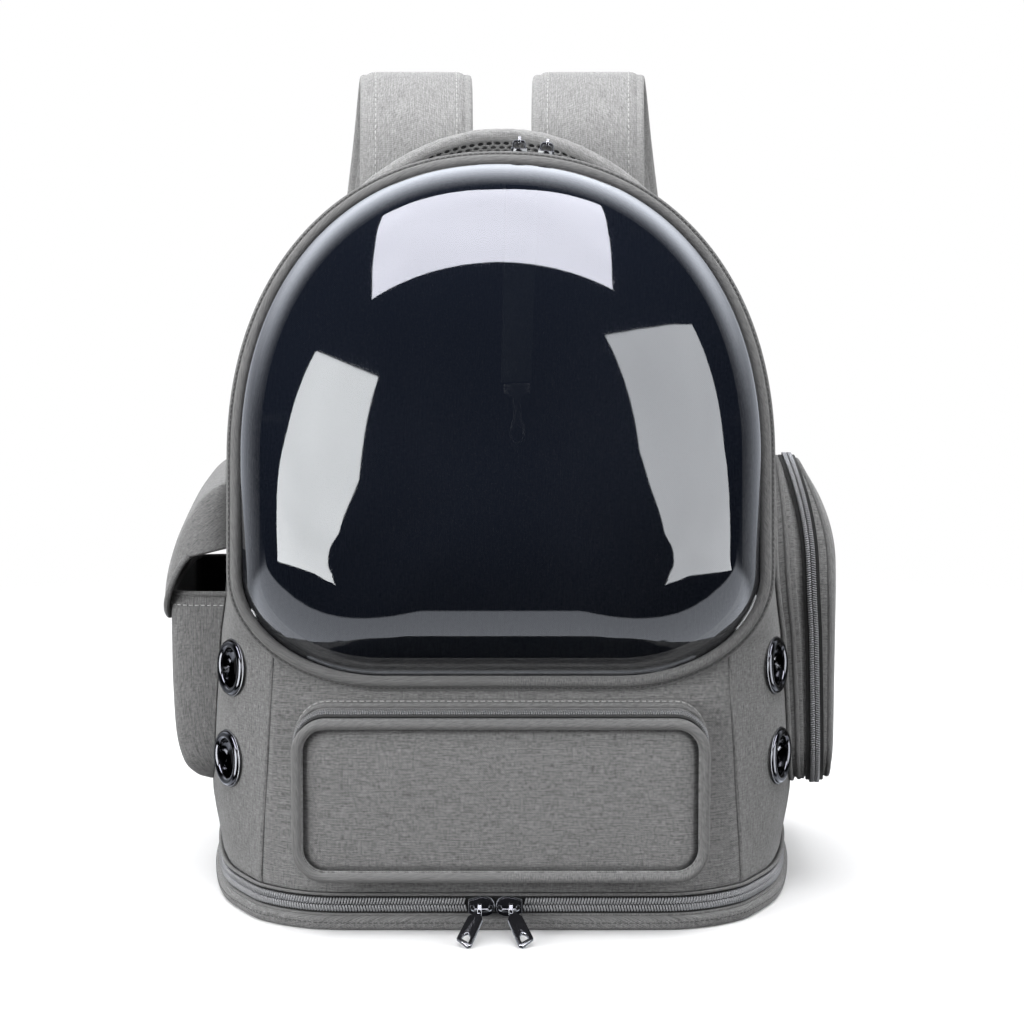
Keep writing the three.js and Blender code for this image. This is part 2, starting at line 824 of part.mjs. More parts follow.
// Rings of a zipped pocket from the shell (0) to its face (1).
const zipPocketRows = [
  { out: 0, shrink: 0 },
  { out: 0.3, shrink: -1.5 },
  { out: 0.42, shrink: 0 },
  { out: 0.72, shrink: 0 },
  { out: 0.9, shrink: 3 },
  { out: 1, shrink: 12 },
  { out: 1.06, shrink: 34 },
];

function zipPocketPoint(y, z, out) {
  const base = sideAt(y, z) + 2 * gap;
  const high = Math.max((z - zipPocketUpright) / (zipPocketTop - zipPocketUpright), 0);
  return at(mix(base, zipPocketFace - zipPocketFall * high ** 2, out), y, z);
}

function zipPocket() {
  const rows = zipPocketRows.map(({ out, shrink }) =>
    zipPocketLoop(shrink).map(([y, z]) => zipPocketPoint(y, z, out)),
  );
  const middle = (sidePocketBottom + zipPocketTop) / 2;
  const pole = zipPocketPoint(sidePocketY, middle, 1.08);
  rows.push(rows[0].map(() => pole.clone()));
  return sheet(rows, pocketWall, at(0, sidePocketY, middle), true);
}

// The zipper round the zipped pocket's front, top and back.
function zipPocketZipper() {
  const loop = zipPocketLoop(-3 * gap).slice(3, -2);
  const line = (out) => loop.map(([y, z]) => zipPocketPoint(y, z, out));
  const path = line(0.57);
  const middle = at(path[0].x, sidePocketY, (sidePocketBottom + zipPocketTop) / 2);
  return sweep(path, wallOuts(path, line(0.45), line(0.69), middle), zipperSection(coilWidth * 1.5));
}

// The hidden slider at the back end of the zipped pocket's zipper.
function zipPocketSlider() {
  const y = sidePocketY + sidePocketHalf + zipperTape + coilRise + 3 * gap;
  const z = mix(sidePocketBottom, zipPocketTop, 0.25);
  const body = new THREE.BoxGeometry(sliderWidth, sliderThick, sliderLength);
  const tab = new THREE.BoxGeometry(pullWidth * 0.6, pullThick, pullLength * 0.8);
  tab.translate(0, sliderThick / 2, -pullLength * 0.5);
  const x = zipPocketPoint(y, z, 0.57).x;
  return join(body, tab).translate(x, y + sliderThick / 2, z);
}

// How deep the flap pocket stands out, from its bottom (0) to its mouth (1).
const flapPocketRows = [
  { up: 0, deep: 0.14, half: 0.78 },
  { up: 0.03, deep: 0.5, half: 0.86 },
  { up: 0.1, deep: 0.76, half: 0.95 },
  { up: 0.24, deep: 0.93, half: 0.99 },
  { up: 0.5, deep: 1, half: 1 },
  { up: 0.8, deep: 1.01, half: 1 },
  { up: 1, deep: 1, half: 1 },
];

// The open pocket on the left: a wall that leaves the shell, runs along the side and returns.
function flapPocket() {
  const round = flapPocketRound;
  const plan = [
    [-1, 0, 0],
    [-1, 0.45, 0],
    [-1, 0.8, 0.12],
    [-1, 0.95, 0.4],
    [-1, 1, 1],
    [0, 1.03, 0],
    [1, 1, -1],
    [1, 0.95, -0.4],
    [1, 0.8, -0.12],
    [1, 0.45, 0],
    [1, 0, 0],
  ];
  const rows = flapPocketRows.map(({ up, deep, half }) => {
    const z = mix(sidePocketBottom, flapPocketTop, up);
    return plan.map(([end, out, inward]) => {
      const y = sidePocketY + end * sidePocketHalf * half + inward * round;
      return at(-mix(sideAt(y, z) + gap, flapPocketFace, deep * out), y, z);
    });
  });
  return sheet(rows, pocketWall, at(0, sidePocketY, flapPocketTop));
}

// The flap over it: lifted off the mouth, deepest in its middle, and curled round both ends.
function pocketFlap() {
  const rows = steps(6).map((down) =>
    steps(12).map((k) => {
      const turn = Math.PI * k;
      const wide = Math.sin(turn) ** 0.6;
      const full = Math.sin(turn) ** 0.15;
      const end = -Math.cos(turn) * (1 + 0.08 * down);
      const y = sidePocketY + end * sidePocketHalf * mix(0.86, 1.04, down);
      const low = mix(flapFront, flapBottom, wide);
      const z = mix(flapTop - 3 * (1 - wide), low, down ** 1.25);
      const out = full * Math.sin((Math.PI / 2) * down) ** 0.75;
      const surface = sideAt(y, Math.min(z, flapTop)) + gap + flapWall;
      return at(-mix(surface, flapFace, out), y, z);
    }),
  );
  return sheet(rows, flapWall, at(0, sidePocketY, flapBottom));
}

// A metal eyelet clamped in the shell's wall.
function vent(side, z) {
  const { point, out } = sideSurface(-ventReach[side < 0 ? "left" : "right"], z);
  const neck = ventHole + 1;
  const back = -shellWall - 3;
  const profile = [
    [ventHole, back - 1],
    [ventRadius - 3, back - 1],
    [ventRadius - 3, back],
    [neck, back],
    [neck, gap],
    [ventRadius, gap],
    [ventRadius - 2, 2.3],
    [ventHole + 1.5, 2.3],
    [ventHole, 0.4],
    [ventHole, back - 1],
  ].map(([r, h]) => new THREE.Vector2(r, h));
  const ring = new THREE.LatheGeometry(profile, 14).rotateX(Math.PI / 2);
  const flip = side < 0 ? mirrored : (p) => p;
  return standing(ring, flip(point), flip(out));
}

// The carry handle's line over the back of the top, and its two pieces.
const handleShare = (k) => Math.max(Math.cos((Math.PI / 2) * (2 * k - 1)), 0);
function handlePath() {
  const crest = handleTop - handleThick - handleSeat - topAt(0, handleY);
  return steps(12).map((k) => {
    const x = handleHalf * (2 * k - 1);
    return at(x, handleY, topAt(x, handleY) + handleSeat + crest * handleShare(k) ** 0.9);
  });
}

// How high the top panel is at a place.
function topAt(x, y) {
  const spotAt = (turn) => {
    const points = topSection(turn).getPoints(30);
    const i = Math.max(points.findIndex((p) => p.y > y), 1);
    const [p, q] = [points[i - 1], points[i]];
    return mid(p, q, (y - p.y) / (q.y - p.y));
  };
  let [low, high] = [0, Math.PI / 2];
  for (let i = 0; i < 18; i++) {
    const turn = (low + high) / 2;
    if (spotAt(turn).x > Math.abs(x)) low = turn;
    else high = turn;
  }
  return spotAt(low).z;
}

function handlePiece(section) {
  const path = handlePath();
  return loft(
    path.map((p, i) => {
      const fall = topAt(p.x, handleY - handleWidth / 3) - topAt(p.x, handleY + handleWidth / 3);
      const flat = Math.atan2(fall, (2 * handleWidth) / 3);
      const tilt = mix(flat, handleTilt, handleShare(i / (path.length - 1)) ** 0.7);
      const across = at(0, Math.cos(tilt), -Math.sin(tilt));
      const before = path[Math.max(i - 1, 0)];
      const after = path[Math.min(i + 1, path.length - 1)];
      const out = across.clone().cross(after.clone().sub(before)).normalize();
      if (out.z < 0) out.negate();
      return section.map(([a, o]) => p.clone().addScaledVector(across, a).addScaledVector(out, o));
    }),
  );
}

const handleMeshThick = 2;
const handleSeat = 0; // the handle's ends touch the panel's curve, so they clear its flat facets

function carryHandle() {
  const half = handleWidth / 2;
  const low = handleMeshThick + gap;
  return handlePiece(
    [
      [-half + 3, low],
      [half - 3, low],
      [half, low + handleThick * 0.35],
      [half - 3, handleThick],
      [0, handleThick + 1],
      [-half + 3, handleThick],
      [-half, low + handleThick * 0.35],
    ],
  );
}

function handleMesh() {
  return handlePiece(strip(handleWidth - 6, handleMeshThick));
}

// A strap's middle line as shares: out from the back panel of strapLoop, up from its root to its top.
const strapLine = [
  { out: -0.015, up: 0.5, aside: 0 },
  { out: 0.01, up: 0.68, aside: 0 },
  { out: 0.1, up: 0.86, aside: 0 },
  { out: 0.32, up: 0.975, aside: 0.01 },
  { out: 0.56, up: 1, aside: 0.03 },
  { out: 0.8, up: 0.93, aside: 0.07 },
  { out: 0.94, up: 0.72, aside: 0.14 },
  { out: 1, up: 0.42, aside: 0.25 },
  { out: 0.98, up: 0.08, aside: 0.38 },
  { out: 0.9, up: -0.3, aside: 0.55 },
  { out: 0.78, up: -0.68, aside: 0.72 },
  { out: 0.62, up: -1.02, aside: 0.86 },
];
const strapRoot = backTop - strapRootDrop;
const strapAside = 56; // how far the lower end has moved outwards
const strapMiddle = strapInner + strapWidth / 2;
const backFace = backReach + backPanelThick + gap;

const strapPoint = ({ out, up, aside }) =>
  at(
    strapMiddle + strapAside * aside,
    backFace - backPanelLean * 0.55 + strapLoop * out,
    mix(strapRoot, strapTop - strapThick / 2, up),
  );

function strapCurve() {
  return new THREE.CatmullRomCurve3(strapLine.map(strapPoint));
}

// The padded part of a shoulder strap: a flat cushion that narrows to its lower end.
function shoulderStrap(side) {
  const curve = strapCurve();
  const count = 13;
  return loft(
    steps(count).map((k) => {
      const p = curve.getPointAt(k);
      const along = curve.getTangentAt(k);
      const out = X.clone().cross(along).normalize();
      const across = along.clone().cross(out);
      const half = (strapWidth / 2) * mix(1, 0.72, THREE.MathUtils.smoothstep(k, 0.72, 1));
      const thick = strapThick / 2;
      const edge = thick * 0.35;
      const section = [
        [-half, -edge],
        [-half + 4, -thick],
        [half - 4, -thick],
        [half, -edge],
        [half, edge],
        [half - 4, thick],
        [-half + 4, thick],
        [-half, edge],
      ];
      const ring = section.map(([a, o]) =>
        p.clone().addScaledVector(across, a).addScaledVector(out, o),
      );
      return side < 0 ? ring.map(mirrored) : ring;
    }),
  );
}

// The webbing from the buckle down to the tray's corner.
const webFootZ = shellBottom + 20;
const webFoot = at(halfWidth * 0.73, backY(webFootZ) + backPanelThick + 2 * gap, webFootZ);
const buckleLength = 30;
const strapEnd = () => strapPoint(strapLine[strapLine.length - 1]);

function webbingLine() {
  const way = strapCurve().getTangentAt(1);
  const start = strapEnd().addScaledVector(way, buckleLength + 3 * gap);
  const straight = start.clone().addScaledVector(way, webThick);
  const slack = start.clone().addScaledVector(way, buckleLength);
  const landing = at(webFoot.x - 5, webFoot.y + 1, webFoot.z + buckleLength * 1.4);
  return [start, ...new THREE.CubicBezierCurve3(straight, slack, landing, webFoot).getPoints(9)];
}

function strapWebbing(side) {
  const path = webbingLine().map((p) => (side < 0 ? mirrored(p) : p));
  return sweep(
    path,
    path.map(() => Y),
    strip(webWidth, webThick),
  );
}

// The band sewn over the roots of both shoulder straps.
const yokeHalf = 98;
const yokeHeight = 34;
const yokeThick = 7;
function strapYoke() {
  const high = strapPoint(strapLine[0]).z - gap;
  const rows = steps(4).map((k) => {
    const z = high - yokeHeight * k;
    const seat = backY(z) + backPanelThick + 2 * gap;
    const deep = yokeThick * [0.7, 1, 1, 0.9, 0.35][Math.round(k * 4)];
    return [
      at(-yokeHalf, seat, z),
      at(yokeHalf, seat, z),
      at(yokeHalf, seat + deep * 0.6, z),
      at(yokeHalf - yokeThick, seat + deep, z),
      at(yokeThick - yokeHalf, seat + deep, z),
      at(-yokeHalf, seat + deep * 0.6, z),
    ];
  });
  return loft(rows);
}

// The plain adjuster between the padded strap and the webbing.
function strapBuckle(side) {
  const top = strapEnd();
  const way = strapCurve().getTangentAt(1);
  const outer = new THREE.Shape();
  const half = webWidth / 2 + 4;
  outer.moveTo(-half, 0).lineTo(half, 0).lineTo(half, buckleLength).lineTo(-half, buckleLength);
  for (const low of [4, buckleLength * 0.42, buckleLength * 0.72]) {
    const slot = new THREE.Path();
    const inner = webWidth / 2 + 0.5;
    slot.moveTo(-inner, low).lineTo(-inner, low + 5).lineTo(inner, low + 5).lineTo(inner, low);
    outer.holes.push(slot);
  }
  const plate = new THREE.ExtrudeGeometry(outer, { depth: 4, bevelEnabled: false });
  plate.translate(0, gap * 2, -2);
  const out = X.clone().cross(way).normalize();
  const basis = new THREE.Matrix4().makeBasis(way.clone().cross(out), way, out);
  plate.applyMatrix4(basis).translate(top.x, top.y, top.z);
  return side < 0 ? solidMirror(plate) : plate;
}

// A geometry mirrored in x, with its faces still looking outwards.
function solidMirror(geometry) {
  const flat = geometry.index ? geometry.toNonIndexed() : geometry;
  const p = flat.getAttribute("position");
  const points = Array.from({ length: p.count }, (_, i) => at(-p.getX(i), p.getY(i), p.getZ(i)));
  const faces = Array.from({ length: p.count / 3 }, (_, i) => points.slice(3 * i, 3 * i + 3));
  return solidFrom(faces);
}

// The zipper that opens the bag, behind the frame's top.
const topZipperTurn = THREE.MathUtils.degToRad(42);
const topCoilRise = 1.4;
const topZipperSeat = 0.7; // under its tape, which bridges the curved panel
const topZipperReach = 0.07; // where across the top panel it lies

function topZipperSpot(turn) {
  const curve = topSection(Math.min(turn, Math.PI - turn));
  const flip = turn > Math.PI / 2 ? mirrored : (p) => p;
  const point = curve.getPointAt(topZipperReach);
  const along = curve.getTangentAt(topZipperReach);
  const next = topSection(Math.min(turn, Math.PI - turn) - 0.02).getPointAt(topZipperReach);
  const out = next.sub(point).cross(along).normalize();
  if (out.z < 0) out.negate();
  return { point: flip(point), out: flip(out) };
}

function topZipper() {
  const turns = steps(16).map((k) => mix(topZipperTurn, Math.PI - topZipperTurn, k));
  const spots = turns.map(topZipperSpot);
  const path = spots.map(({ point, out }) => point.clone().addScaledVector(out, topZipperSeat));
  return sweep(
    path,
    spots.map(({ out }) => out),
    zipperSection(coilWidth * 2, topCoilRise),
  );
}

// A slider with its bridge, lying on a zipper that runs along X and faces +Z.
function slider(flip) {
  const half = sliderLength / 2;
  const body = new THREE.Shape();
  body.moveTo(-half, -sliderWidth * 0.32).lineTo(0, -sliderWidth / 2);
  body.quadraticCurveTo(half, -sliderWidth / 2, half, 0);
  body.quadraticCurveTo(half, sliderWidth / 2, 0, sliderWidth / 2);
  body.lineTo(-half, sliderWidth * 0.32);
  const plate = new THREE.ExtrudeGeometry(body, {
    depth: sliderThick,
    bevelEnabled: false,
    curveSegments: 4,
  });
  const span = sliderLength * 0.36;
  const bridge = steps(6).map((k) => {
    const turn = Math.PI * k;
    const flat = Math.sign(Math.cos(turn)) * Math.abs(Math.cos(turn)) ** 0.5;
    return at(-span * flat, 0, sliderThick - 0.6 + (crownRise + 0.6) * Math.sin(turn) ** 0.5);
  });
  const wire = sweep(
    bridge,
    bridge.map(() => Y),
    circle(crownWire, 6),
  );
  const made = join(plate, wire);
  return flip < 0 ? solidMirror(made) : made;
}

// A pull tab hanging down -Z from an eye round the X axis, with a finger hole at its slanted end.
function pullTab(splay) {
  const half = pullWidth / 2;
  const neck = eyeHole + eyeRing * 0.6;
  const tab = new THREE.Shape();
  tab.moveTo(-1.6, -neck).lineTo(1.6, -neck).lineTo(half * 0.9, -neck - 4);
  tab.lineTo(half, -pullLength * 0.86).lineTo(-half * 0.6, -pullLength).lineTo(-half, -pullLength * 0.95);
  tab.lineTo(-half * 0.9, -neck - 4);
  const hole = new THREE.Path();
  hole.moveTo(half * 0.5, -pullLength * 0.84).quadraticCurveTo(
    half * 0.5,
    -pullLength * 0.68,
    0,
    -pullLength * 0.66,
  );
  hole.quadraticCurveTo(-half * 0.62, -pullLength * 0.7, -half * 0.55, -pullLength * 0.9);
  tab.holes.push(hole);
  const plate = new THREE.ExtrudeGeometry(tab, {
    depth: pullThick,
    bevelEnabled: false,
    curveSegments: 4,
  });
  plate.translate(0, 0, -pullThick / 2).rotateX(Math.PI / 2);
  const eye = new THREE.LatheGeometry(
    [
      [eyeHole, -pullThick / 2],
      [eyeHole + eyeRing, -pullThick / 2],
      [eyeHole + eyeRing, pullThick / 2],
      [eyeHole, pullThick / 2],
      [eyeHole, -pullThick / 2],
    ].map(([r, h]) => new THREE.Vector2(r, h)),
    8,
  ).rotateZ(Math.PI / 2);
  return join(plate.rotateY(splay), eye);
}

const zipperFrontY = -frontReach - zipperSeat - coilRise;
const baseZipperMiddle = trayHeight + gap + zipperTall / 2;

// A slider of the base zipper: side -1 is the left one.
function baseSlider(side) {
  const made = slider(-side).rotateX(Math.PI / 2);
  const x = slidersMeet + side * (sliderLength / 2 + gap);
  return made.translate(x, zipperFrontY - gap, baseZipperMiddle);
}

const bridgeY = zipperFrontY - gap - sliderThick - crownRise;

function basePull(side) {
  const made = pullTab(side * -pullSplay);
  const x = slidersMeet + side * (sliderLength / 2 + gap + 1);
  if (side > 0) {
    return made.rotateX(-pullLift).translate(x, bridgeY, baseZipperMiddle);
  }
  return solidMirror(pullTab(-pullSplay)).rotateX(-pullLift).translate(x, bridgeY, baseZipperMiddle);
}

// The two sliders of the top zipper, beside each other at the middle of the arch.
const topSliderSpots = [
  { side: -1, x: 9.5 },
  { side: 1, x: 24 },
];

function topSpot(x) {
  const reach = windowHalfWidth + bandWidth;
  const turn = Math.acos((Math.abs(x) / reach) ** (archPower / 2));
  const { point, out } = topZipperSpot(turn);
  return { place: at(x, point.y, point.z), out };
}

const topSeat = topZipperSeat + zipperTape + topCoilRise + gap;

function topSlider({ side, x }) {
  const { place, out } = topSpot(x);
  const made = slider(side).scale(topPullScale, topPullScale, topPullScale);
  return standing(made, place.clone().addScaledVector(out, topSeat), out);
}

function topPull({ x }) {
  const { place, out } = topSpot(x);
  const height = topSeat + (sliderThick + crownRise) * topPullScale;
  const made = pullTab(0).scale(topPullScale, topPullScale, topPullScale);
  made.rotateX(Math.PI / 2 - topPullDrop);
  return standing(made, place.clone().addScaledVector(out, height), out);
}

const topPullDrop = THREE.MathUtils.degToRad(20);

// The tether inside: a doubled strap from the top panel with a clip at its end.
function tetherStrap() {
  const top = topSection(Math.PI / 2).getPoints(20).find((p) => p.y > tetherY).z;
  const path = steps(8).map((k) =>
    at(tetherX - 3 * k, tetherY + 2 * Math.sin(Math.PI * k), mix(top - shellWall - tetherDrop, tetherBottom, k)),
  );
  const last = path.length - 1;
  return loft(
    path.map((p, i) => {
      const turn = 0.5 * (i / last);
      const across = at(Math.cos(turn), Math.sin(turn), 0);
      const out = at(-Math.sin(turn), Math.cos(turn), 0);
      return strip(tetherWidth, webThick * 1.6).map(([a, o]) =>
        p.clone().addScaledVector(across, a).addScaledVector(out, o),
      );
    }),
  );
}

function tetherClip() {
  const body = new THREE.Shape();
  const half = 5;
  body.moveTo(-half * 1.6, 0).lineTo(half * 1.6, 0).lineTo(half * 1.6, -6).lineTo(half * 0.5, -8);
  body.lineTo(half * 0.5, -clipLength * 0.55).quadraticCurveTo(half * 1.7, -clipLength * 0.8, 0, -clipLength);
  body.quadraticCurveTo(-half * 1.7, -clipLength * 0.8, -half * 0.5, -clipLength * 0.55).lineTo(-half * 0.5, -8);
  body.lineTo(-half * 1.6, -6);
  const hole = new THREE.Path();
  hole.absellipse(0, -clipLength * 0.78, half * 0.62, clipLength * 0.12, 0, Math.PI * 2);
  body.holes.push(hole);
  const made = new THREE.ExtrudeGeometry(body, { depth: 4, bevelEnabled: false, curveSegments: 6 });
  return made.translate(0, 0, -2).rotateX(Math.PI / 2).translate(tetherX - 3, tetherY + 1, tetherBottom - gap);
}

const paint = (color, roughness, metalness = 0, opacity = 1) =>
  new THREE.MeshStandardMaterial({ color, roughness, metalness, opacity, transparent: opacity < 1 });
const heather = paint(0x7d7d7d, 0.95);
const heatherLight = paint(0x969696, 0.95);
const piping = paint(0x6f6f6f, 0.95);
const airMesh = paint(0x8a8a88, 0.9);
const zipperBlack = paint(0x2b2b2c, 0.6);
const gunmetal = paint(0x2a2a2c, 0.25, 1);
const smoke = paint(0x14181f, 0.04, 0, 0.75);
const webbing = paint(0x4a4d4e, 0.9);
const blackPlastic = paint(0x161617, 0.45);

const group = new THREE.Group();
function add(name, geometry, material) {
  const mesh = new THREE.Mesh(geometry, material);
  mesh.name = name;
  group.add(mesh);
}

add("base_tray", baseTray(), heather);
add("base_zipper", baseZipper(), zipperBlack);
add("front_panel", frontPanel(), heather);
add("top_panel", topPanel(), heather);
add("back_panel", backPanel(), heather);
add("frame_band", frameBand(), piping);
add("frame_piping", framePiping(), piping);
add("dome_window", domeWindow(), smoke);
add("front_pocket", frontPocket(), heather);
add("front_pocket_piping", frontPocketPiping(), piping);
add("front_pocket_zipper", frontPocketZipper(), zipperBlack);
add("front_pocket_pull", frontPocketPull(), blackPlastic);
add("zip_pocket", zipPocket(), heather);
add("zip_pocket_zipper", zipPocketZipper(), zipperBlack);
add("zip_pocket_slider", zipPocketSlider(), gunmetal);
add("flap_pocket", flapPocket(), heather);
add("pocket_flap", pocketFlap(), heather);
add("carry_handle", carryHandle(), heatherLight);
add("handle_mesh", handleMesh(), airMesh);
add("top_zipper", topZipper(), zipperBlack);
add("strap_yoke", strapYoke(), heather);
add("tether_strap", tetherStrap(), webbing);
add("tether_clip", tetherClip(), blackPlastic);
for (const [side, name] of [
  [-1, "left"],
  [1, "right"],
]) {
  add(`side_panel_${name}`, sidePanel(side), heather);
  ventHeights.forEach((z, i) => {
    add(`vent_${name}_${["low", "high"][i]}`, vent(side, z), gunmetal);
  });
  add(`shoulder_strap_${name}`, shoulderStrap(side), heatherLight);
  add(`strap_webbing_${name}`, strapWebbing(side), webbing);
  add(`strap_buckle_${name}`, strapBuckle(side), blackPlastic);
  add(`base_slider_${name}`, baseSlider(side), gunmetal);
  add(`base_pull_${name}`, basePull(side), gunmetal);
}
topSliderSpots.forEach((spot, i) => {
  const name = ["left", "right"][i];
  add(`top_slider_${name}`, topSlider(spot), gunmetal);
  add(`top_pull_${name}`, topPull(spot), gunmetal);
});

export default group;
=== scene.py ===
import json
import math

import bmesh
import bpy
from mathutils import Matrix, Vector, noise

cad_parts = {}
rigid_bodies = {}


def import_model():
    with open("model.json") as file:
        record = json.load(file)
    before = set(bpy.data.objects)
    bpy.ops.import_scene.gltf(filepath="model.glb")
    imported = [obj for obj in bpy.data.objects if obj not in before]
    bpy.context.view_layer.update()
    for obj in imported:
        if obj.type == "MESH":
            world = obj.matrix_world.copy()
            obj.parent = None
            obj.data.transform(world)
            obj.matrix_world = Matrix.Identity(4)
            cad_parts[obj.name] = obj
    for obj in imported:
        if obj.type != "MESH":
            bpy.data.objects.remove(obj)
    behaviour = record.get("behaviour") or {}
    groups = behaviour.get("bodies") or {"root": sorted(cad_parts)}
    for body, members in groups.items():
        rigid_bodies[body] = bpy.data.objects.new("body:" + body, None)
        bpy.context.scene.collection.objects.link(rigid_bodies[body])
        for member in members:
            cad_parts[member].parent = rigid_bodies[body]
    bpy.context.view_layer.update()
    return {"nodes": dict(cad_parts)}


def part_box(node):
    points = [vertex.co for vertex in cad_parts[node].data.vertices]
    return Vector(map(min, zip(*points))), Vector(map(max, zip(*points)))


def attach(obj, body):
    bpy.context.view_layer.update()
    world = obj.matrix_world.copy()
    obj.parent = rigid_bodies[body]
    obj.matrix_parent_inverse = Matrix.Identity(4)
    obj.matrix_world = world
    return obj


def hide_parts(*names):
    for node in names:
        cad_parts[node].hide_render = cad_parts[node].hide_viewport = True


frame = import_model()

# Camera
camera = bpy.data.objects.new("camera", bpy.data.cameras.new("camera"))
bpy.context.scene.collection.objects.link(camera)
camera.data.sensor_width = 36
camera.data.lens = 107.4
camera.location = (0.006, -1.735, 0.459)
camera.rotation_euler = (math.radians(90 - 8.19), 0, 0)
bpy.context.scene.camera = camera
bpy.context.scene.view_settings.view_transform = "Standard"

# Sizes in millimetres
MM, METRE = 0.001, 1000  # a millimetre in metres, a metre in millimetres
GAP = 0.4
SHELL_WALL = 2.5
TRAY_HEIGHT, TRAY_REACH = 8, 4
ZIPPER_TALL, ZIPPER_TAPE = 11.6, 1.2
SHELL_BOTTOM = TRAY_HEIGHT + ZIPPER_TALL + 2 * GAP
HALF_WIDTH, FRONT_REACH, BACK_REACH = 168, 131, 128
FRONT_FLAT, FRONT_DIP = 88, 21
CORNER_REACH, REAR_REACH = 70, 65
BACK_THICK, BACK_LEAN, BACK_TOP = 8, 16, 396
SHELL_TOP, SHELL_POWER, SHELL_INSET = 412.5, 2.1, 2
WINDOW_HALF, WINDOW_HEIGHT, WINDOW_SPRING = 140, 275, 115
CORNER_WIDE, CORNER_TALL = 76, 55
WINDOW_BOTTOM, WINDOW_REACH, WINDOW_LEAN = 137, 116, math.radians(8.6)
BAND_WIDTH, BAND_DEPTH, PIPING = 6, 4, 2.7
DOME_DEPTH, SEAM_TOP = 82, 124
POCKET_HALF, POCKET_LOW, POCKET_HIGH = 109.5, 32.5, 117.5
POCKET_DEPTH, POCKET_ROUND, POCKET_RISE = 32, 16, 6
SIDE_Y, SIDE_HALF, SIDE_LOW = 15, 67, 62
ZIP_TOP, ZIP_FACE, ZIP_FALL, ZIP_UPRIGHT, ZIP_ROUND = 238, 188, 16, 186, 22
OPEN_TOP, OPEN_FACE, OPEN_ROUND = 171, 185.5, 16
FLAP_TOP, FLAP_LOW, FLAP_FRONT, FLAP_FACE, FLAP_WALL = 234, 149, 198, 191, 2.4
VENT_RADIUS, VENT_HOLE, VENT_HEIGHTS, VENT_Y = 16, 10.5, (83, 134), {-1: -79, 1: -72}
HANDLE_HALF, HANDLE_WIDE, HANDLE_THICK, HANDLE_TOP, HANDLE_Y = 91, 30, 7, 421, 94
STRAP_WIDE, STRAP_THICK, STRAP_INNER, STRAP_TOP, STRAP_LOOP, STRAP_SPREAD = 66, 9, 19, 459, 78, 56
WEB_WIDE, WEB_THICK = 25, 1.8


def mix(a, b, k):
    return a + (b - a) * k


def clamp(k, low=0.0, high=1.0):
    return min(max(k, low), high)


def smooth(k, low=0.0, high=1.0):
    k = clamp((k - low) / (high - low))
    return k * k * (3 - 2 * k)


def vec(x, y, z):
    return Vector((x, y, z))


def flipped(p):
    return vec(-p.x, p.y, p.z)


def side_name(side):
    return "left" if side < 0 else "right"


def on_side(side, p):
    """A place of the right side, mirrored for the left side (-1)."""
    return flipped(p) if side < 0 else p


def raised(path, outs, lift):
    return [p + o * lift for p, o in zip(path, outs)]


class Line:
    """A smooth line through points; its share runs from 0 to 1."""

    def __init__(self, points):
        self.points = [Vector(p) for p in points]
        p = self.points
        ends = [p[0] * 2 - p[1]] + p + [p[-1] * 2 - p[-2]]
        self.parts = []
        for a, b, c, d in zip(ends, ends[1:], ends[2:], ends[3:]):
            d0, d1, d2 = (max((v - u).length, 1e-9) ** 0.5 for u, v in ((a, b), (b, c), (c, d)))
            t1 = ((b - a) / d0 - (c - a) / (d0 + d1) + (c - b) / d1) * d1
            t2 = ((c - b) / d1 - (d - b) / (d1 + d2) + (d - c) / d2) * d1
            self.parts.append((b, t1, (c - b) * 3 - t1 * 2 - t2, (b - c) * 2 + t1 + t2))
        self.marks = None

    def at(self, share):
        t = clamp(share) * len(self.parts)
        i = min(int(t), len(self.parts) - 1)
        k = t - i
        c0, c1, c2, c3 = self.parts[i]
        return c0 + c1 * k + c2 * (k * k) + c3 * (k * k * k)

    def even(self, share):
        """The point at a share of the length."""
        if self.marks is None:
            count = 30 * len(self.parts)
            spots = [self.at(i / count) for i in range(count + 1)]
            run, self.marks = 0.0, [0.0]
            for a, b in zip(spots, spots[1:]):
                run += (b - a).length
                self.marks.append(run)
        goal = clamp(share) * self.marks[-1]
        low, high = 0, len(self.marks) - 1
        while high - low > 1:
            half = (low + high) // 2
            if self.marks[half] <= goal:
                low = half
            else:
                high = half
        part = (goal - self.marks[low]) / max(self.marks[high] - self.marks[low], 1e-9)
        return self.at((low + part) / (len(self.marks) - 1))

    def way(self, share):
        step = 0.004
        return (self.even(share + step) - self.even(share - step)).normalized()

    def length(self):
        self.even(0)
        return self.marks[-1]


def evenly(points, count, loop=False):
    """Points at equal distances along a chain of points."""
    chain = list(points) + ([points[0]] if loop else [])
    marks = [0.0]
    for a, b in zip(chain, chain[1:]):
        marks.append(marks[-1] + (b - a).length)
    made, j = [], 0
    for i in range(count if loop else count + 1):
        goal = marks[-1] * i / count
        while j < len(marks) - 2 and marks[j + 1] < goal:
            j += 1
        part = (goal - marks[j]) / max(marks[j + 1] - marks[j], 1e-9)
        made.append(chain[j].lerp(chain[j + 1], clamp(part)))
    return made


# The bag's surfaces

def window_point(a, b, n):
    s, c = math.sin(WINDOW_LEAN), math.cos(WINDOW_LEAN)
    return vec(a, -WINDOW_REACH + b * s - n * c, WINDOW_BOTTOM + b * c + n * s)


WINDOW_OUT = window_point(0, 0, 1) - window_point(0, 0, 0)
SPRING_Z = window_point(0, WINDOW_SPRING, 0).z
SHELL_SEAT = -BAND_DEPTH - GAP


def arch(reach, rise, turn, power=2.2):
    return reach * max(math.cos(turn), 0) ** (2 / power), rise * max(math.sin(turn), 0) ** (2 / power)


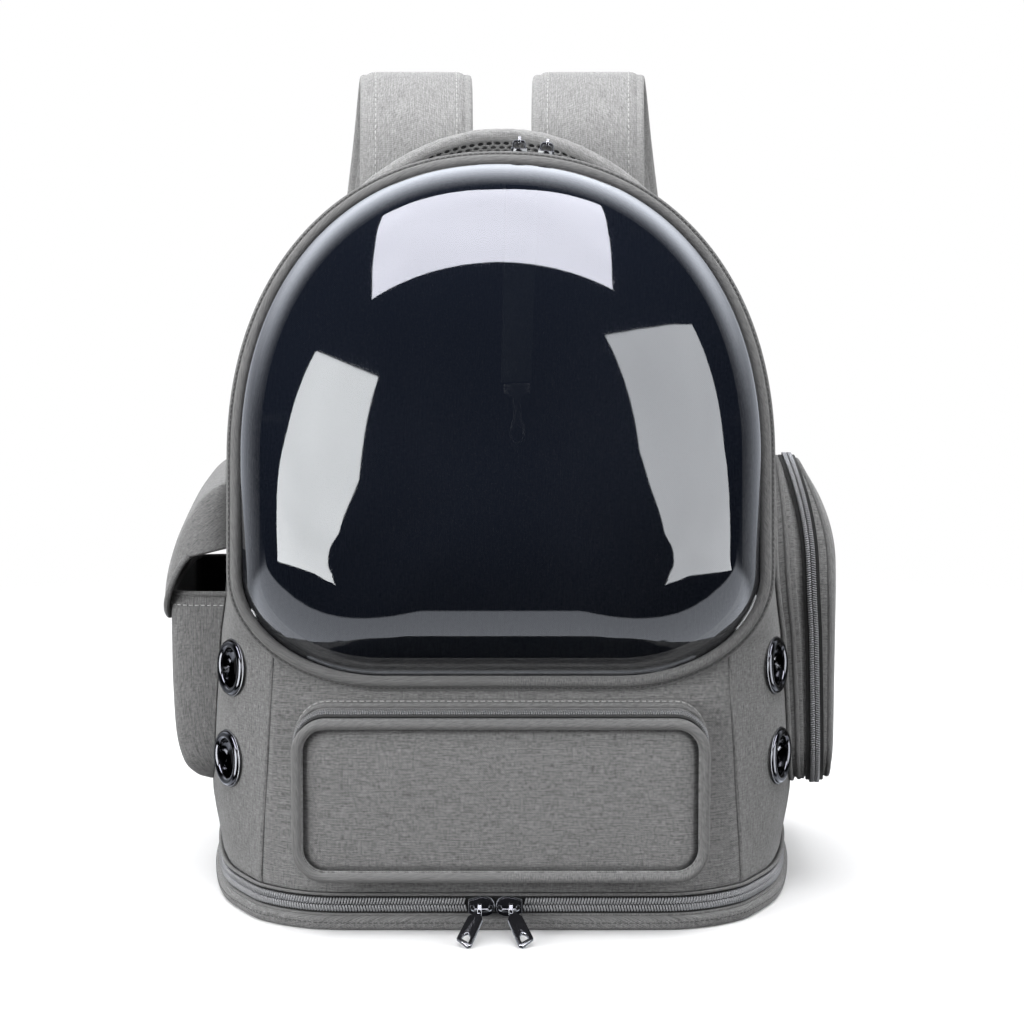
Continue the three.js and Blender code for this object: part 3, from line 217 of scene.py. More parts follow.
def window_half(grow):
    """The window's outline as (a, b), from the bottom middle up the right side to the top."""
    width, corner_a, corner_b = WINDOW_HALF + grow, CORNER_WIDE + grow, CORNER_TALL + grow
    line = [((width - corner_a) * i / 10, -grow) for i in range(10)]
    for i in range(25):
        turn = math.pi / 2 * i / 24
        line.append((width - corner_a + corner_a * math.sin(turn), corner_b - grow - corner_b * math.cos(turn)))
    for i in range(1, 8):
        line.append((width, mix(corner_b - grow, WINDOW_SPRING, i / 8)))
    for i in range(61):
        a, b = arch(width, WINDOW_HEIGHT + grow - WINDOW_SPRING, math.pi / 2 * i / 60)
        line.append((a, WINDOW_SPRING + b))
    return line


def window_loop(grow, count):
    """The outline as points at equal distances, from the bottom middle up the right side and round."""
    right = [vec(a, b, 0) for a, b in window_half(grow)]
    loop = right + [flipped(p) for p in reversed(right[1:-1])]
    return evenly(loop, count, loop=True)


def frame_half_at(b):
    corner_a, corner_b = CORNER_WIDE + BAND_WIDTH, CORNER_TALL + BAND_WIDTH
    below = clamp((corner_b - BAND_WIDTH - b) / corner_b)
    return WINDOW_HALF + BAND_WIDTH - corner_a * (1 - math.sqrt(1 - below * below))


def frame_bottom_at(a):
    corner_a, corner_b = CORNER_WIDE + BAND_WIDTH, CORNER_TALL + BAND_WIDTH
    past = max(abs(a) - (WINDOW_HALF + BAND_WIDTH - corner_a), 0) / corner_a
    return corner_b - BAND_WIDTH - corner_b * math.sqrt(max(1 - past * past, 0))


SEAM_TOP_B = frame_bottom_at(SEAM_TOP)
SEAM_TOP_Z = window_point(0, SEAM_TOP_B, SHELL_SEAT).z

# Half widths of the side as shares, at shares of its height: up, corner, middle, rear, back.
SIDE_ROWS = [
    (0.0, 0.899, 0.964, 0.976, 0.952),
    (0.14, 0.926, 1.0, 1.0, 0.964),
    (0.29, 0.926, 0.99, 0.99, 0.958),
    (0.43, 0.916, 0.973, 0.976, 0.952),
    (0.55, 0.905, 0.956, 0.964, 0.943),
    (0.75, 0.888, 0.93, 0.946, 0.93),
    (1.0, 0.872, 0.911, 0.929, 0.908),
]


def side_width(z, column):
    def share(height):
        up = clamp((height - SHELL_BOTTOM) / (SPRING_Z - SHELL_BOTTOM))
        i = next((n for n, row in enumerate(SIDE_ROWS) if row[0] >= up and n), len(SIDE_ROWS) - 1)
        low, high = SIDE_ROWS[i - 1], SIDE_ROWS[i]
        return mix(low[column], high[column], (up - low[0]) / (high[0] - low[0]))

    return HALF_WIDTH * (share(z - 9) + 2 * share(z) + share(z + 9)) / 4


def back_y(z):
    return BACK_REACH - BACK_LEAN * (z - SHELL_BOTTOM) / (BACK_TOP - SHELL_BOTTOM)


def front_edge(z):
    """The seam, and above it the frame's edge, that a side panel starts from."""
    if z < SEAM_TOP_Z:
        low = vec(SEAM_TOP + TRAY_REACH * 2, FRONT_DIP - FRONT_REACH, SHELL_BOTTOM)
        k = (z - SHELL_BOTTOM) / (SEAM_TOP_Z - SHELL_BOTTOM)
        return low.lerp(window_point(SEAM_TOP, SEAM_TOP_B, SHELL_SEAT), k)
    b = SEAM_TOP_B + (z - SEAM_TOP_Z) / math.cos(WINDOW_LEAN)
    return window_point(frame_half_at(b) - SHELL_INSET * smooth(b, SEAM_TOP_B, WINDOW_SPRING), b, SHELL_SEAT)


def side_section(z):
    return Line([
        front_edge(z),
        vec(side_width(z, 1), -CORNER_REACH, z),
        vec(side_width(z, 2), 0, z),
        vec(side_width(z, 3), REAR_REACH, z),
        vec(side_width(z, 4), back_y(z), z),
    ])


SIDE_TABLE = {}


def side_row(i):
    """The side's half widths at one height, every 2 mm of depth."""
    if i not in SIDE_TABLE:
        z = min(SHELL_BOTTOM + 2 * i, SPRING_Z)
        chain = [side_section(z).at(k / 60) for k in range(61)]
        row, j = [], 0
        for step in range(140):
            y = -140 + 2 * step
            while j < 59 and chain[j + 1].y < y:
                j += 1
            p, q = chain[j], chain[j + 1]
            row.append(mix(p.x, q.x, (y - p.y) / (q.y - p.y)))
        SIDE_TABLE[i] = row
    return SIDE_TABLE[i]


def side_at(y, z):
    """How far the shell's side stands out at a depth and a height."""
    if z > SPRING_Z:
        rise = min((z - SPRING_Z) / (SHELL_TOP - SPRING_Z), 1)
        return side_at(y, SPRING_Z) * (1 - rise ** SHELL_POWER) ** (1 / SHELL_POWER)
    i = max((z - SHELL_BOTTOM) / 2, 0)
    j = clamp((y + 140) / 2, 0, 137.99)
    i0, j0 = int(i), int(j)
    low, high = (mix(side_row(n)[j0], side_row(n)[j0 + 1], j - j0) for n in (i0, i0 + 1))
    return mix(low, high, i - i0)


def side_spot(side, y, z):
    """A point on the shell's side and the way out of it."""
    point = vec(side_at(y, z), y, z)
    out = (vec(side_at(y + 2, z), y + 2, z) - point).cross(vec(side_at(y, z + 2), y, z + 2) - point).normalized()
    return on_side(side, point), on_side(side, out)


def front_panel_y(x):
    past = max((abs(x) - FRONT_FLAT) / (SEAM_TOP + 2 * TRAY_REACH - FRONT_FLAT), 0)
    return FRONT_DIP * past ** 2 - FRONT_REACH


def front_spot(k, up):
    """A point of the front panel: k runs from seam to seam, up from the base zipper to the frame."""
    seam = front_edge(SHELL_BOTTOM).x
    low = vec(k * (seam - 2), front_panel_y(k * seam), SHELL_BOTTOM)
    a = k * (SEAM_TOP - 2)
    return low.lerp(window_point(a, frame_bottom_at(a), SHELL_SEAT), up)


def front_surface(x, z):
    k, up = x / SEAM_TOP, 0.5
    for _ in range(6):
        up = (z - SHELL_BOTTOM) / (front_spot(k, 1).z - SHELL_BOTTOM)
        k = x / mix(front_spot(1, 0).x, front_spot(1, 1).x, up)
    return front_spot(k, up).y


def top_section(turn):
    flip = turn > math.pi / 2
    turn = min(turn, math.pi - turn)
    grow = BAND_WIDTH - SHELL_INSET
    a, b = arch(WINDOW_HALF + grow, WINDOW_HEIGHT + grow - WINDOW_SPRING, turn)

    def spot(column, y, top):
        x, z = arch(HALF_WIDTH * SIDE_ROWS[-1][column], top - SPRING_Z, turn, SHELL_POWER)
        return vec(x, y, SPRING_Z + z)

    back = SPRING_Z + arch(1, BACK_TOP - SPRING_Z, turn, SHELL_POWER)[1]
    points = [
        window_point(a, WINDOW_SPRING + b, SHELL_SEAT),
        spot(1, -CORNER_REACH * 0.5, SHELL_TOP),
        spot(2, CORNER_REACH * 0.2, mix(SHELL_TOP, BACK_TOP, 0.1)),
        spot(3, REAR_REACH, mix(SHELL_TOP, BACK_TOP, 0.55)),
        spot(4, back_y(back), BACK_TOP),
    ]
    return Line([flipped(p) for p in points] if flip else points)


def top_at(x, y):
    """The top panel's height at a place."""
    low, high = 0.0, math.pi / 2
    for _ in range(14):
        turn = (low + high) / 2
        line = top_section(turn)
        near, far = 0.0, 1.0
        for _ in range(14):
            k = (near + far) / 2
            if line.at(k).y < y:
                near = k
            else:
                far = k
        spot = line.at(near)
        if spot.x > abs(x):
            low = turn
        else:
            high = turn
    return spot.z


def bottom_loop(count):
    """The shell's bottom edge at equal distances with the ways out, from the front middle round the right side."""
    seam = front_edge(SHELL_BOTTOM)
    right = [vec(seam.x * i / 16, front_panel_y(seam.x * i / 16), 0) for i in range(16)]
    line = side_section(SHELL_BOTTOM)
    right += [vec(p.x, p.y, 0) for p in (line.at(i / 30) for i in range(31))]
    rear, edge = right[-1], BACK_REACH + BACK_THICK
    right.append(vec(rear.x - GAP, edge - BACK_THICK / 4, 0))
    right += [vec(x, edge, 0) for x in (rear.x - BACK_THICK, rear.x / 2)]
    loop = right + [vec(0, edge, 0)] + [flipped(p) for p in reversed(right[1:])]
    loop = evenly(loop, count, loop=True)
    for _ in range(max(count // 60, 1)):
        loop = [(loop[i - 1] + p * 2 + loop[(i + 1) % count]) / 4 for i, p in enumerate(loop)]
    outs = [(loop[(i + 1) % count] - loop[i - 1]).cross(vec(0, 0, 1)).normalized() for i in range(count)]
    return loop, outs


# Making pieces

def finish_piece(name, bm, materials, replaces=(), body="bag"):
    mesh = bpy.data.meshes.new(name)
    bm.to_mesh(mesh)
    bm.free()
    mesh.shade_smooth()
    piece = bpy.data.objects.new(name, mesh)
    bpy.context.scene.collection.objects.link(piece)
    for material in materials:
        mesh.materials.append(material)
    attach(piece, body)
    if replaces:
        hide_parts(*replaces)
    return piece


def laid(name, place, across, along, materials, loop=False, wall=0.0, inside=None,
         replaces=(), closed=False, drop=None, flat_map=None):
    """A sheet of fine squares, each corner placed by its shares across and along, with a map in metres.

    The map follows the sheet's own lengths, or else the two axes in flat_map. The sheet's face looks away from
    the point inside, and a wall grows behind it. drop says which faces are left out.
    """
    bm = bmesh.new()
    uv = bm.loops.layers.uv.new("UVMap")
    bmesh.ops.create_grid(bm, x_segments=across, y_segments=along, size=0.5)
    spots = [[Vector(place(i / across, j / along)) for j in range(along + 1)] for i in range(across + 1)]
    u = [[0.0] * (along + 1) for _ in range(across + 1)]
    v = [[0.0] * (along + 1) for _ in range(across + 1)]
    middle = across // 2
    for j in range(along + 1):
        for i in range(middle + 1, across + 1):
            u[i][j] = u[i - 1][j] + (spots[i][j] - spots[i - 1][j]).length
        for i in range(middle - 1, -1, -1):
            u[i][j] = u[i + 1][j] - (spots[i][j] - spots[i + 1][j]).length
    for i in range(across + 1):
        for j in range(1, along + 1):
            v[i][j] = v[i][j - 1] + (spots[i][j] - spots[i][j - 1]).length
    where = {}
    for vert in bm.verts:
        i, j = round((vert.co.x + 0.5) * across), round((vert.co.y + 0.5) * along)
        where[vert] = (i, j)
    for face in bm.faces:
        for corner in face.loops:
            i, j = where[corner.vert]
            flat = [spots[i][j][axis] for axis in flat_map] if flat_map else (u[i][j], v[i][j])
            corner[uv].uv = (flat[0] * MM, flat[1] * MM)
    for vert in bm.verts:
        i, j = where[vert]
        vert.co = spots[i][j] * MM
    if drop:
        gone = [f for f in bm.faces if drop(f.calc_center_median() * METRE)]
        bmesh.ops.delete(bm, geom=gone, context="FACES")
    if loop or closed:
        bmesh.ops.remove_doubles(bm, verts=bm.verts[:], dist=1e-6)
    bmesh.ops.dissolve_degenerate(bm, edges=bm.edges[:], dist=1e-7)
    bm.normal_update()
    if closed:
        bmesh.ops.recalc_face_normals(bm, faces=bm.faces[:])
    elif inside is not None:
        centre = Vector(inside) * MM
        facing = sum(f.calc_area() * f.normal.dot(f.calc_center_median() - centre) for f in bm.faces)
        if facing < 0:
            bmesh.ops.reverse_faces(bm, faces=bm.faces[:])
    piece = finish_piece(name, bm, materials, replaces)
    if wall:
        solid = piece.modifiers.new("wall", "SOLIDIFY")
        solid.thickness = wall * MM
        solid.offset = -1
        solid.use_rim = True
        solid.use_even_offset = True
        if len(materials) > 1:
            solid.material_offset = 1
    return piece


def frames_along(path, outs, loop):
    """The ways across and out at each point of a path."""
    last = len(path) - 1
    made = []
    for i in range(last + 1):
        before = path[i - 1] if i or loop else path[0]
        after = path[(i + 1) % len(path)] if i < last or loop else path[last]
        along = (after - before).normalized()
        across = along.cross(outs[i]).normalized()
        made.append((across, across.cross(along).normalized()))
    return made


def swept(name, path, outs, section, materials, loop=False, replaces=()):
    """A closed section (across, out) carried along a path; open ends are closed."""
    ways = frames_along(path, outs, loop)
    count, rows = len(section), len(path)

    def spot(i, a, o):
        return path[i] + ways[i][0] * a + ways[i][1] * o

    def place(s, t):
        corner = section[round(s * count) % count]
        if loop:
            return spot(round(t * rows) % rows, *corner)
        j = round(t * (rows + 1))
        if j in (0, rows + 1):
            i = 0 if j == 0 else rows - 1
            return sum((spot(i, *each) for each in section), Vector()) / count
        return spot(j - 1, *corner)

    return laid(name, place, count, rows if loop else rows + 1, materials, replaces=replaces, closed=True)


def ring(radius, sides, squash=1.0):
    return [(radius * math.cos(2 * math.pi * i / sides), radius * squash * math.sin(2 * math.pi * i / sides))
            for i in range(sides)]


def round_corners(half_x, half_y, radius, steps):
    """Points round a rectangle with round corners, from its lower right corner."""
    made = []
    for a, b, start in ((1, -1, -90), (1, 1, 0), (-1, 1, 90), (-1, -1, 180)):
        for i in range(steps + 1):
            turn = math.radians(start + 90 / steps * i)
            made.append((a * (half_x - radius) + radius * math.cos(turn),
                         b * (half_y - radius) + radius * math.sin(turn)))
    return made


def slab(width, thick, edge):
    """A flat section with rounded edges, from its underside up."""
    points = round_corners(width / 2, thick / 2, min(edge, thick / 2), 3)
    return [(a, thick / 2 + o) for a, o in points]


def marks_along(path, pitch, loop=False):
    """Even places along a chain of points: the index of the point before, and the share to the next one."""
    chain = list(path) + ([path[0]] if loop else [])
    lengths = [(b - a).length for a, b in zip(chain, chain[1:])]
    count = max(int(sum(lengths) / pitch), 1)
    step, run, i, made = sum(lengths) / count, 0.0, 0, []
    for n in range(count):
        goal = (n + 0.5) * step
        while i < len(lengths) - 1 and run + lengths[i] < goal:
            run += lengths[i]
            i += 1
        made.append((i, (goal - run) / max(lengths[i], 1e-9)))
    return made


def many(name, path, outs, pitch, size, materials, loop, rows, skip, round_by):
    """Small rounded blocks at an even pitch along a path. A row is (aside, turn, shift along)."""
    bm = bmesh.new()
    chain = list(path) + ([path[0]] if loop else [])
    out_chain = list(outs) + ([outs[0]] if loop else [])
    for aside, turn, shift in rows:
        for i, part in marks_along(path, pitch, loop):
            p, q = chain[i], chain[i + 1]
            along = (q - p).normalized()
            out = out_chain[i].lerp(out_chain[i + 1], part)
            across = along.cross(out).normalized()
            out = across.cross(along)
            spot = p.lerp(q, part) + across * aside + along * shift
            if skip and skip(spot):
                continue
            basis = Matrix((along, across, out)).transposed().to_4x4()
            place = Matrix.Translation(spot * MM) @ basis @ Matrix.Rotation(turn, 4, "Z")
            place = place @ Matrix.Diagonal((size[0] * MM, size[1] * MM, size[2] * MM, 1))
            bmesh.ops.create_cube(bm, size=1, matrix=place)
    bmesh.ops.bevel(bm, geom=bm.edges[:], offset=round_by * MM, affect="EDGES", segments=1, profile=0.5,
                    material=-1)
    return finish_piece(name, bm, materials)


def coil(name, path, outs, width, loop=False, pitch=1.3, tall=1.5, skip=None):
    """A zipper's coil: two rows of slanting teeth that meet at its middle."""
    middle = raised(path, outs, tall * 0.5)
    side, slant = width * 0.27, math.radians(14)
    rows = ((-side, slant, 0), (side, -slant, pitch / 2))
    return many(name, middle, outs, pitch, (pitch * 0.62, width * 0.5, tall), [COIL], loop, rows, skip,
                0.22)


def stitches(name, path, outs, loop=False, pitch=3.4, material=None, lift=0.1):
    """A line of sewn stitches, each a rounded block."""
    spots = raised(path, outs, lift)
    return many(name, spots, outs, pitch, (pitch * 0.66, 0.55, 0.5), [material or THREAD], loop,
                ((0, 0, 0),), None, 0.16)


def outs_from(path, inside):
    """Ways out of a surface for a line on it, roughly away from a point."""
    return [(p - Vector(inside)).normalized() for p in path]


def outs_beside(path, sides, away):
    """Ways out of a surface along a line on it, from a way beside the line at each point; away says which face."""
    outs = []
    for i, (p, side) in enumerate(zip(path, sides)):
        along = path[min(i + 1, len(path) - 1)] - path[max(i - 1, 0)]
        out = side.cross(along).normalized()
        outs.append(out if out.dot(away(p)) > 0 else -out)
    return outs


# Materials

def new_group(name, inputs, outputs):
    group = bpy.data.node_groups.new(name, "ShaderNodeTree")
    for label, kind, value in inputs:
        socket = group.interface.new_socket(label, in_out="INPUT", socket_type=kind)
        if value is not None:
            socket.default_value = value
    for label, kind in outputs:
        group.interface.new_socket(label, in_out="OUTPUT", socket_type=kind)
    start, end = group.nodes.new("NodeGroupInput"), group.nodes.new("NodeGroupOutput")
    return group, start, end


def add_node(tree, kind, link=None, **values):
    """A node with its settings; link maps its inputs to the outputs that feed them."""
    node = tree.nodes.new(kind)
    for key, value in values.items():
        setattr(node, key, value)
    for key, value in (link or {}).items():
        if isinstance(value, bpy.types.NodeSocket):
            tree.links.new(value, node.inputs[key])
        else:
            node.inputs[key].default_value = value
    return node


def math_node(tree, operation, a, b=0.0, c=None):
    link = {0: a, 1: b}
    if c is not None:
        link[2] = c
    return add_node(tree, "ShaderNodeMath", link, operation=operation).outputs[0]


def tex_coord(tree, kind="Object"):
    return add_node(tree, "ShaderNodeTexCoord").outputs[kind]


def noise_node(tree, place, scale, detail=2.0):
    return add_node(tree, "ShaderNodeTexNoise", {"Vector": place, "Scale": scale, "Detail": detail}).outputs[0]


def ramp_node(tree, value, start, end, to=(0.0, 1.0), kind="LINEAR"):
    """A value between start and end, carried over to the range in to."""
    link = {"Value": value, "From Min": start, "From Max": end, "To Min": to[0], "To Max": to[1]}
    return add_node(tree, "ShaderNodeMapRange", link, interpolation_type=kind).outputs[0]


def color_mix(tree, share, first, second, **settings):
    """From a first colour to a second one by a share; each is three levels or an output."""
    link = {0: share}
    for n, color in ((6, first), (7, second)):
        link[n] = color if isinstance(color, bpy.types.NodeSocket) else (*color, 1)
    return add_node(tree, "ShaderNodeMix", link, data_type="RGBA", **settings).outputs[2]


def bump(tree, shader, height, strength, distance):
    node = add_node(tree, "ShaderNodeBump", {"Height": height, "Strength": strength, "Distance": distance})
    tree.links.new(node.outputs[0], shader.inputs["Normal"])


def heather_weave_group():
    """Two greys twisted into slubby yarns; the long streaks run along the first axis of the map."""
    group, start, end = new_group(
        "heather_weave",
        [("Map", "NodeSocketVector", None), ("Dark", "NodeSocketColor", (0.1, 0.1, 0.1, 1)),
         ("Light", "NodeSocketColor", (0.3, 0.3, 0.3, 1)), ("Streak", "NodeSocketFloat", 1.0),
         ("Yarn", "NodeSocketFloat", 1600.0)],
        [("Color", "NodeSocketColor"), ("Height", "NodeSocketFloat")],
    )

    def streaks(scale, detail):
        stretched = add_node(group, "ShaderNodeMapping", {"Vector": start.outputs["Map"], "Scale": scale})
        return noise_node(group, stretched.outputs[0], 1.0, detail)

    def waves(axis):
        yarns = math_node(group, "MULTIPLY", split.outputs[axis], start.outputs["Yarn"])
        return math_node(group, "SINE", math_node(group, "MULTIPLY", yarns, math.pi))

    split = add_node(group, "ShaderNodeSeparateXYZ", {"Vector": start.outputs["Map"]})
    streak, fleck, warp = streaks((90, 1500, 1), 2.0), streaks((420, 2100, 1), 1.0), streaks((1300, 260, 1), 1.0)
    over = math_node(group, "MULTIPLY", waves(0), waves(1))
    blend = 0.5
    for part, weight in ((streak, start.outputs["Streak"]), (fleck, 1.1), (warp, 0.7)):
        blend = math_node(group, "MULTIPLY_ADD", math_node(group, "SUBTRACT", part, 0.5), weight, blend)
    blend = math_node(group, "MULTIPLY_ADD", over, 0.12, blend)
    color = color_mix(group, ramp_node(group, blend, 0.1, 0.9), start.outputs["Dark"], start.outputs["Light"])
    group.links.new(color, end.inputs["Color"])
    height = math_node(group, "MULTIPLY_ADD", over, 0.5, math_node(group, "MULTIPLY", fleck, 0.8))
    group.links.new(height, end.inputs["Height"])
    return group


HEATHER_WEAVE = heather_weave_group()


def plain_material(name, **values):
    """A material with values on its shader's own inputs, whose names have _ for a space here."""
    material = bpy.data.materials.new(name)
    material.use_nodes = True
    tree = material.node_tree
    shader = next(n for n in tree.nodes if n.type == "BSDF_PRINCIPLED")
    for label, value in values.items():
        shader.inputs[label.replace("_", " ")].default_value = value
    return material, tree, shader


def heather(name, dark, light, turn=0.0, streak=1.0, yarn=1600.0):
    """Woven melange cloth whose yarns follow the piece's own map."""
    material, tree, shader = plain_material(name, Roughness=0.9, Specular_IOR_Level=0.08, Sheen_Weight=0.25,
                                            Sheen_Roughness=0.5)
    map_turned = add_node(tree, "ShaderNodeMapping",
                          {"Vector": tex_coord(tree, "UV"), "Rotation": (0, 0, math.radians(turn))}).outputs[0]
    weave = add_node(tree, "ShaderNodeGroup", {"Map": map_turned, "Dark": (*dark, 1), "Light": (*light, 1),
                                               "Streak": streak, "Yarn": yarn}, node_tree=HEATHER_WEAVE)
    tree.links.new(weave.outputs["Color"], shader.inputs["Base Color"])
    bump(tree, shader, weave.outputs["Height"], 0.25, 0.0004)
    return material


def grey(level):
    return (level, level, level)


CLOTH = heather("heather_cloth", grey(0.085), grey(0.27))
CLOTH_UP = heather("heather_cloth_upright", grey(0.085), grey(0.27), turn=90)
STRAP_CLOTH = heather("strap_cloth", grey(0.17), grey(0.40), turn=90)
STRAP_BINDING = heather("strap_binding", grey(0.2), grey(0.4), streak=0.4, yarn=2600)
BINDING = heather("binding_cloth", grey(0.085), grey(0.23), streak=0.4, yarn=2600)
# Painted shade: the lining's near black is partly its own dark colour and partly shade painted in for the closed
# bag's inside.
LINING_AND_SHADE = heather("dark_lining_and_painted_shade", grey(0.012), grey(0.035), streak=0.5)
THREAD = heather("stitch_thread", grey(0.38), grey(0.62), streak=0.4, yarn=2600)
DARK_THREAD = heather("dark_thread", grey(0.05), grey(0.11), streak=0.4, yarn=2600)
TAPE = heather("zipper_tape", grey(0.008), grey(0.022), streak=0.3, yarn=2600)
WEBBING = heather("webbing", (0.045, 0.05, 0.05), (0.13, 0.145, 0.14), streak=0.4, yarn=1100)


def moulded(name, color, roughness, metallic=0.0, grain=0.0, specular=0.5):
    """A hard finish with a fine grain in its gloss."""
    material, tree, shader = plain_material(name, Metallic=metallic, Specular_IOR_Level=specular)
    mottle = noise_node(tree, tex_coord(tree), 900.0, 3.0)
    rough = ramp_node(tree, mottle, 0.0, 1.0, (roughness * 0.8, roughness * 1.25))
    tree.links.new(rough, shader.inputs["Roughness"])
    tone = color_mix(tree, mottle, [c * 0.85 for c in color], [c * 1.15 for c in color])
    tree.links.new(tone, shader.inputs["Base Color"])
    if grain:
        bump(tree, shader, mottle, grain, 0.0002)
    return material


COIL = moulded("zipper_coil", (0.2, 0.2, 0.205), 0.4)
GUNMETAL = moulded("gunmetal", (0.07, 0.07, 0.075), 0.14, 1.0)
BINDING_METAL = moulded("dull_washer", (0.16, 0.16, 0.165), 0.4, 1.0)
# Painted highlight: bright silver for the pulls' eased edges, standing in for the glints along their edges.
PAINTED_GLINT_EDGE = moulded("painted_glint_edge", (0.7, 0.7, 0.72), 0.14, 1.0)
BLACK = moulded("black_plastic", (0.015, 0.015, 0.016), 0.35, grain=0.1)
GLOSS_BLACK = moulded("black_chrome", (0.012, 0.012, 0.014), 0.12, specular=0.9)


def mesh_holes_group():
    """Staggered round holes between knitted threads, by a map in metres."""
    group, start, end = new_group(
        "mesh_holes", [("Map", "NodeSocketVector", None), ("Pitch", "NodeSocketFloat", 0.0049)],
        [("Hole", "NodeSocketFloat"), ("Height", "NodeSocketFloat")])
    split = add_node(group, "ShaderNodeSeparateXYZ", {"Vector": start.outputs["Map"]})
    near = None
    for shift in (0.0, 0.5):
        squares = []
        for axis, tall in ((0, 1.0), (1, math.sqrt(3))):
            step = math_node(group, "MULTIPLY", start.outputs["Pitch"], tall)
            cell = math_node(group, "ADD", math_node(group, "DIVIDE", split.outputs[axis], step), shift)
            off = math_node(group, "SUBTRACT", math_node(group, "FRACT", cell), 0.5)
            off = math_node(group, "MULTIPLY", off, tall)
            squares.append(math_node(group, "MULTIPLY", off, off))
        far = math_node(group, "SQRT", math_node(group, "ADD", *squares))
        near = far if near is None else math_node(group, "MINIMUM", near, far)
    for label, ends in (("Hole", (0.37, 0.27)), ("Height", (0.22, 0.5))):
        group.links.new(ramp_node(group, near, *ends, kind="SMOOTHSTEP"), end.inputs[label])
    return group


MESH_HOLES = mesh_holes_group()


def air_mesh(name, dark, light, pitch):
    """Knitted spacer mesh with open holes, coloured near black inside as painted shade of their depth."""
    material = heather(name, dark, light, streak=0.3)
    tree = material.node_tree
    shader = tree.nodes["Principled BSDF"]
    holes = add_node(tree, "ShaderNodeGroup", {"Map": tex_coord(tree, "UV"), "Pitch": pitch}, node_tree=MESH_HOLES)
    cloth = shader.inputs["Base Color"].links[0].from_socket
    # Painted shade: the cloth goes near black in the holes, standing in for the shade down in them.
    tree.links.new(color_mix(tree, holes.outputs["Hole"], cloth, (0.004, 0.004, 0.005)), shader.inputs["Base Color"])
    bump(tree, shader, holes.outputs["Height"], 0.9, 0.0012)
    return material


MESH_CLOTH = air_mesh("air_mesh", grey(0.3), grey(0.55), 0.0051)


def smoked_plastic():
    """The bubble's outer face: a dark film that lets a little more through close to its rim."""
    material, tree, shader = plain_material("smoked_bubble", Roughness=0.035, IOR=1.55, Specular_IOR_Level=0.9)
    haze = noise_node(tree, tex_coord(tree), 9.0)
    tree.links.new(color_mix(tree, haze, (0.006, 0.008, 0.014), (0.010, 0.013, 0.022)), shader.inputs["Base Color"])
    from_rim = add_node(tree, "ShaderNodeSeparateXYZ", {"Vector": tex_coord(tree, "UV")}).outputs[1]
    alpha = ramp_node(tree, from_rim, 0.012, 0.030, (0.5, 0.7), "SMOOTHSTEP")
    tree.links.new(alpha, shader.inputs["Alpha"])
    return material


def clear_inner():
    """The bubble's inner face, which adds no gloss of its own."""
    material, tree, shader = plain_material("bubble_inner_face", Base_Color=(0.01, 0.013, 0.02, 1), Roughness=0.1,
                                            Specular_IOR_Level=0.0)
    haze = noise_node(tree, tex_coord(tree), 12.0)
    tree.links.new(ramp_node(tree, haze, 0.0, 1.0, (0.08, 0.14)), shader.inputs["Alpha"])
    return material


SMOKE, SMOKE_INNER = smoked_plastic(), clear_inner()

# Base tray and its zipper
LOOP_COUNT = 360
LOOP, LOOP_OUT = bottom_loop(LOOP_COUNT)
INSIDE = (0, 0, (SHELL_BOTTOM + SHELL_TOP) / 2)


def around(grow, z, i):
    """A point beside the shell's bottom edge: grow out of it, at a height."""
    k = i % LOOP_COUNT
    return vec(LOOP[k].x + LOOP_OUT[k].x * grow, LOOP[k].y + LOOP_OUT[k].y * grow, z)


def all_around(grow, z):
    return [around(grow, z, i) for i in range(LOOP_COUNT)]


def base_tray():
    """The tray: low and high edges rounded, with a flat floor and top."""
    profile = [(0.0, 0)]
    for r, z, start in ((3, 3, -90), (2.6, TRAY_HEIGHT - 2.6, 0)):
        for i in range(9):
            turn = math.radians(start + 11.25 * i)
            profile.append((TRAY_REACH - r + r * math.cos(turn), z + r * math.sin(turn)))
    profile.append((-6, TRAY_HEIGHT))
    last = len(profile)

    def place(s, t):
        i, j = round(s * LOOP_COUNT), round(t * (last + 1))
        if j in (0, last + 1):
            return vec(0, 0, 0 if j == 0 else TRAY_HEIGHT)
        grow, z = profile[j - 1]
        return around(grow, z, i)

    laid("tray_cloth", place, LOOP_COUNT, last + 1, [CLOTH], closed=True, replaces=("base_tray",))


def base_zipper():
    low = TRAY_HEIGHT + GAP
    middle = low + ZIPPER_TALL / 2
    profile = [(0.6 - ZIPPER_TAPE, low), (0.6, low), (0.6, middle - 3), (0.8, middle), (0.6, middle + 3),
               (0.6, low + ZIPPER_TALL), (0.6 - ZIPPER_TAPE, low + ZIPPER_TALL)]

    def place(s, t):
        grow, z = profile[round(t * 7) % 7]
        return around(grow, z, round(s * LOOP_COUNT))

    laid("base_zipper_tape", place, LOOP_COUNT, 7, [TAPE], closed=True, replaces=("base_zipper",))
    sliders = [vec(x, -FRONT_REACH, middle) for x in (-10.5, 4.5)]
    coil("base_zipper_coil", all_around(0.7, middle), LOOP_OUT, 7.0, loop=True, pitch=1.6,
         skip=lambda p: any((p - slider).length < 8.5 for slider in sliders))
    for n, z in (("low", TRAY_HEIGHT + 0.5), ("high", low + ZIPPER_TALL - 0.3)):
        swept(f"base_zipper_hem_{n}", all_around(1.2, z), LOOP_OUT, ring(0.8, 8, 1.4), [BINDING],
              loop=True)
    stitches("tray_stitches", all_around(TRAY_REACH - 0.1, 4.6), LOOP_OUT, loop=True, material=DARK_THREAD, pitch=3.0)


base_tray()
base_zipper()


# Shell panels

def eased(k, amount=0.6):
    """A share with finer steps near both ends."""
    return mix(k, (1 - math.cos(math.pi * k)) / 2, amount)


def ripple(p, deep):
    """The slack of the cloth at a place."""
    return deep * noise.noise(Vector((p.x / 38, p.y / 38, p.z / 38)))


# How far the cloth turns in at a seam and at the base zipper.
SEAM_TUCK, ZIPPER_TUCK = 1.3, 0.9


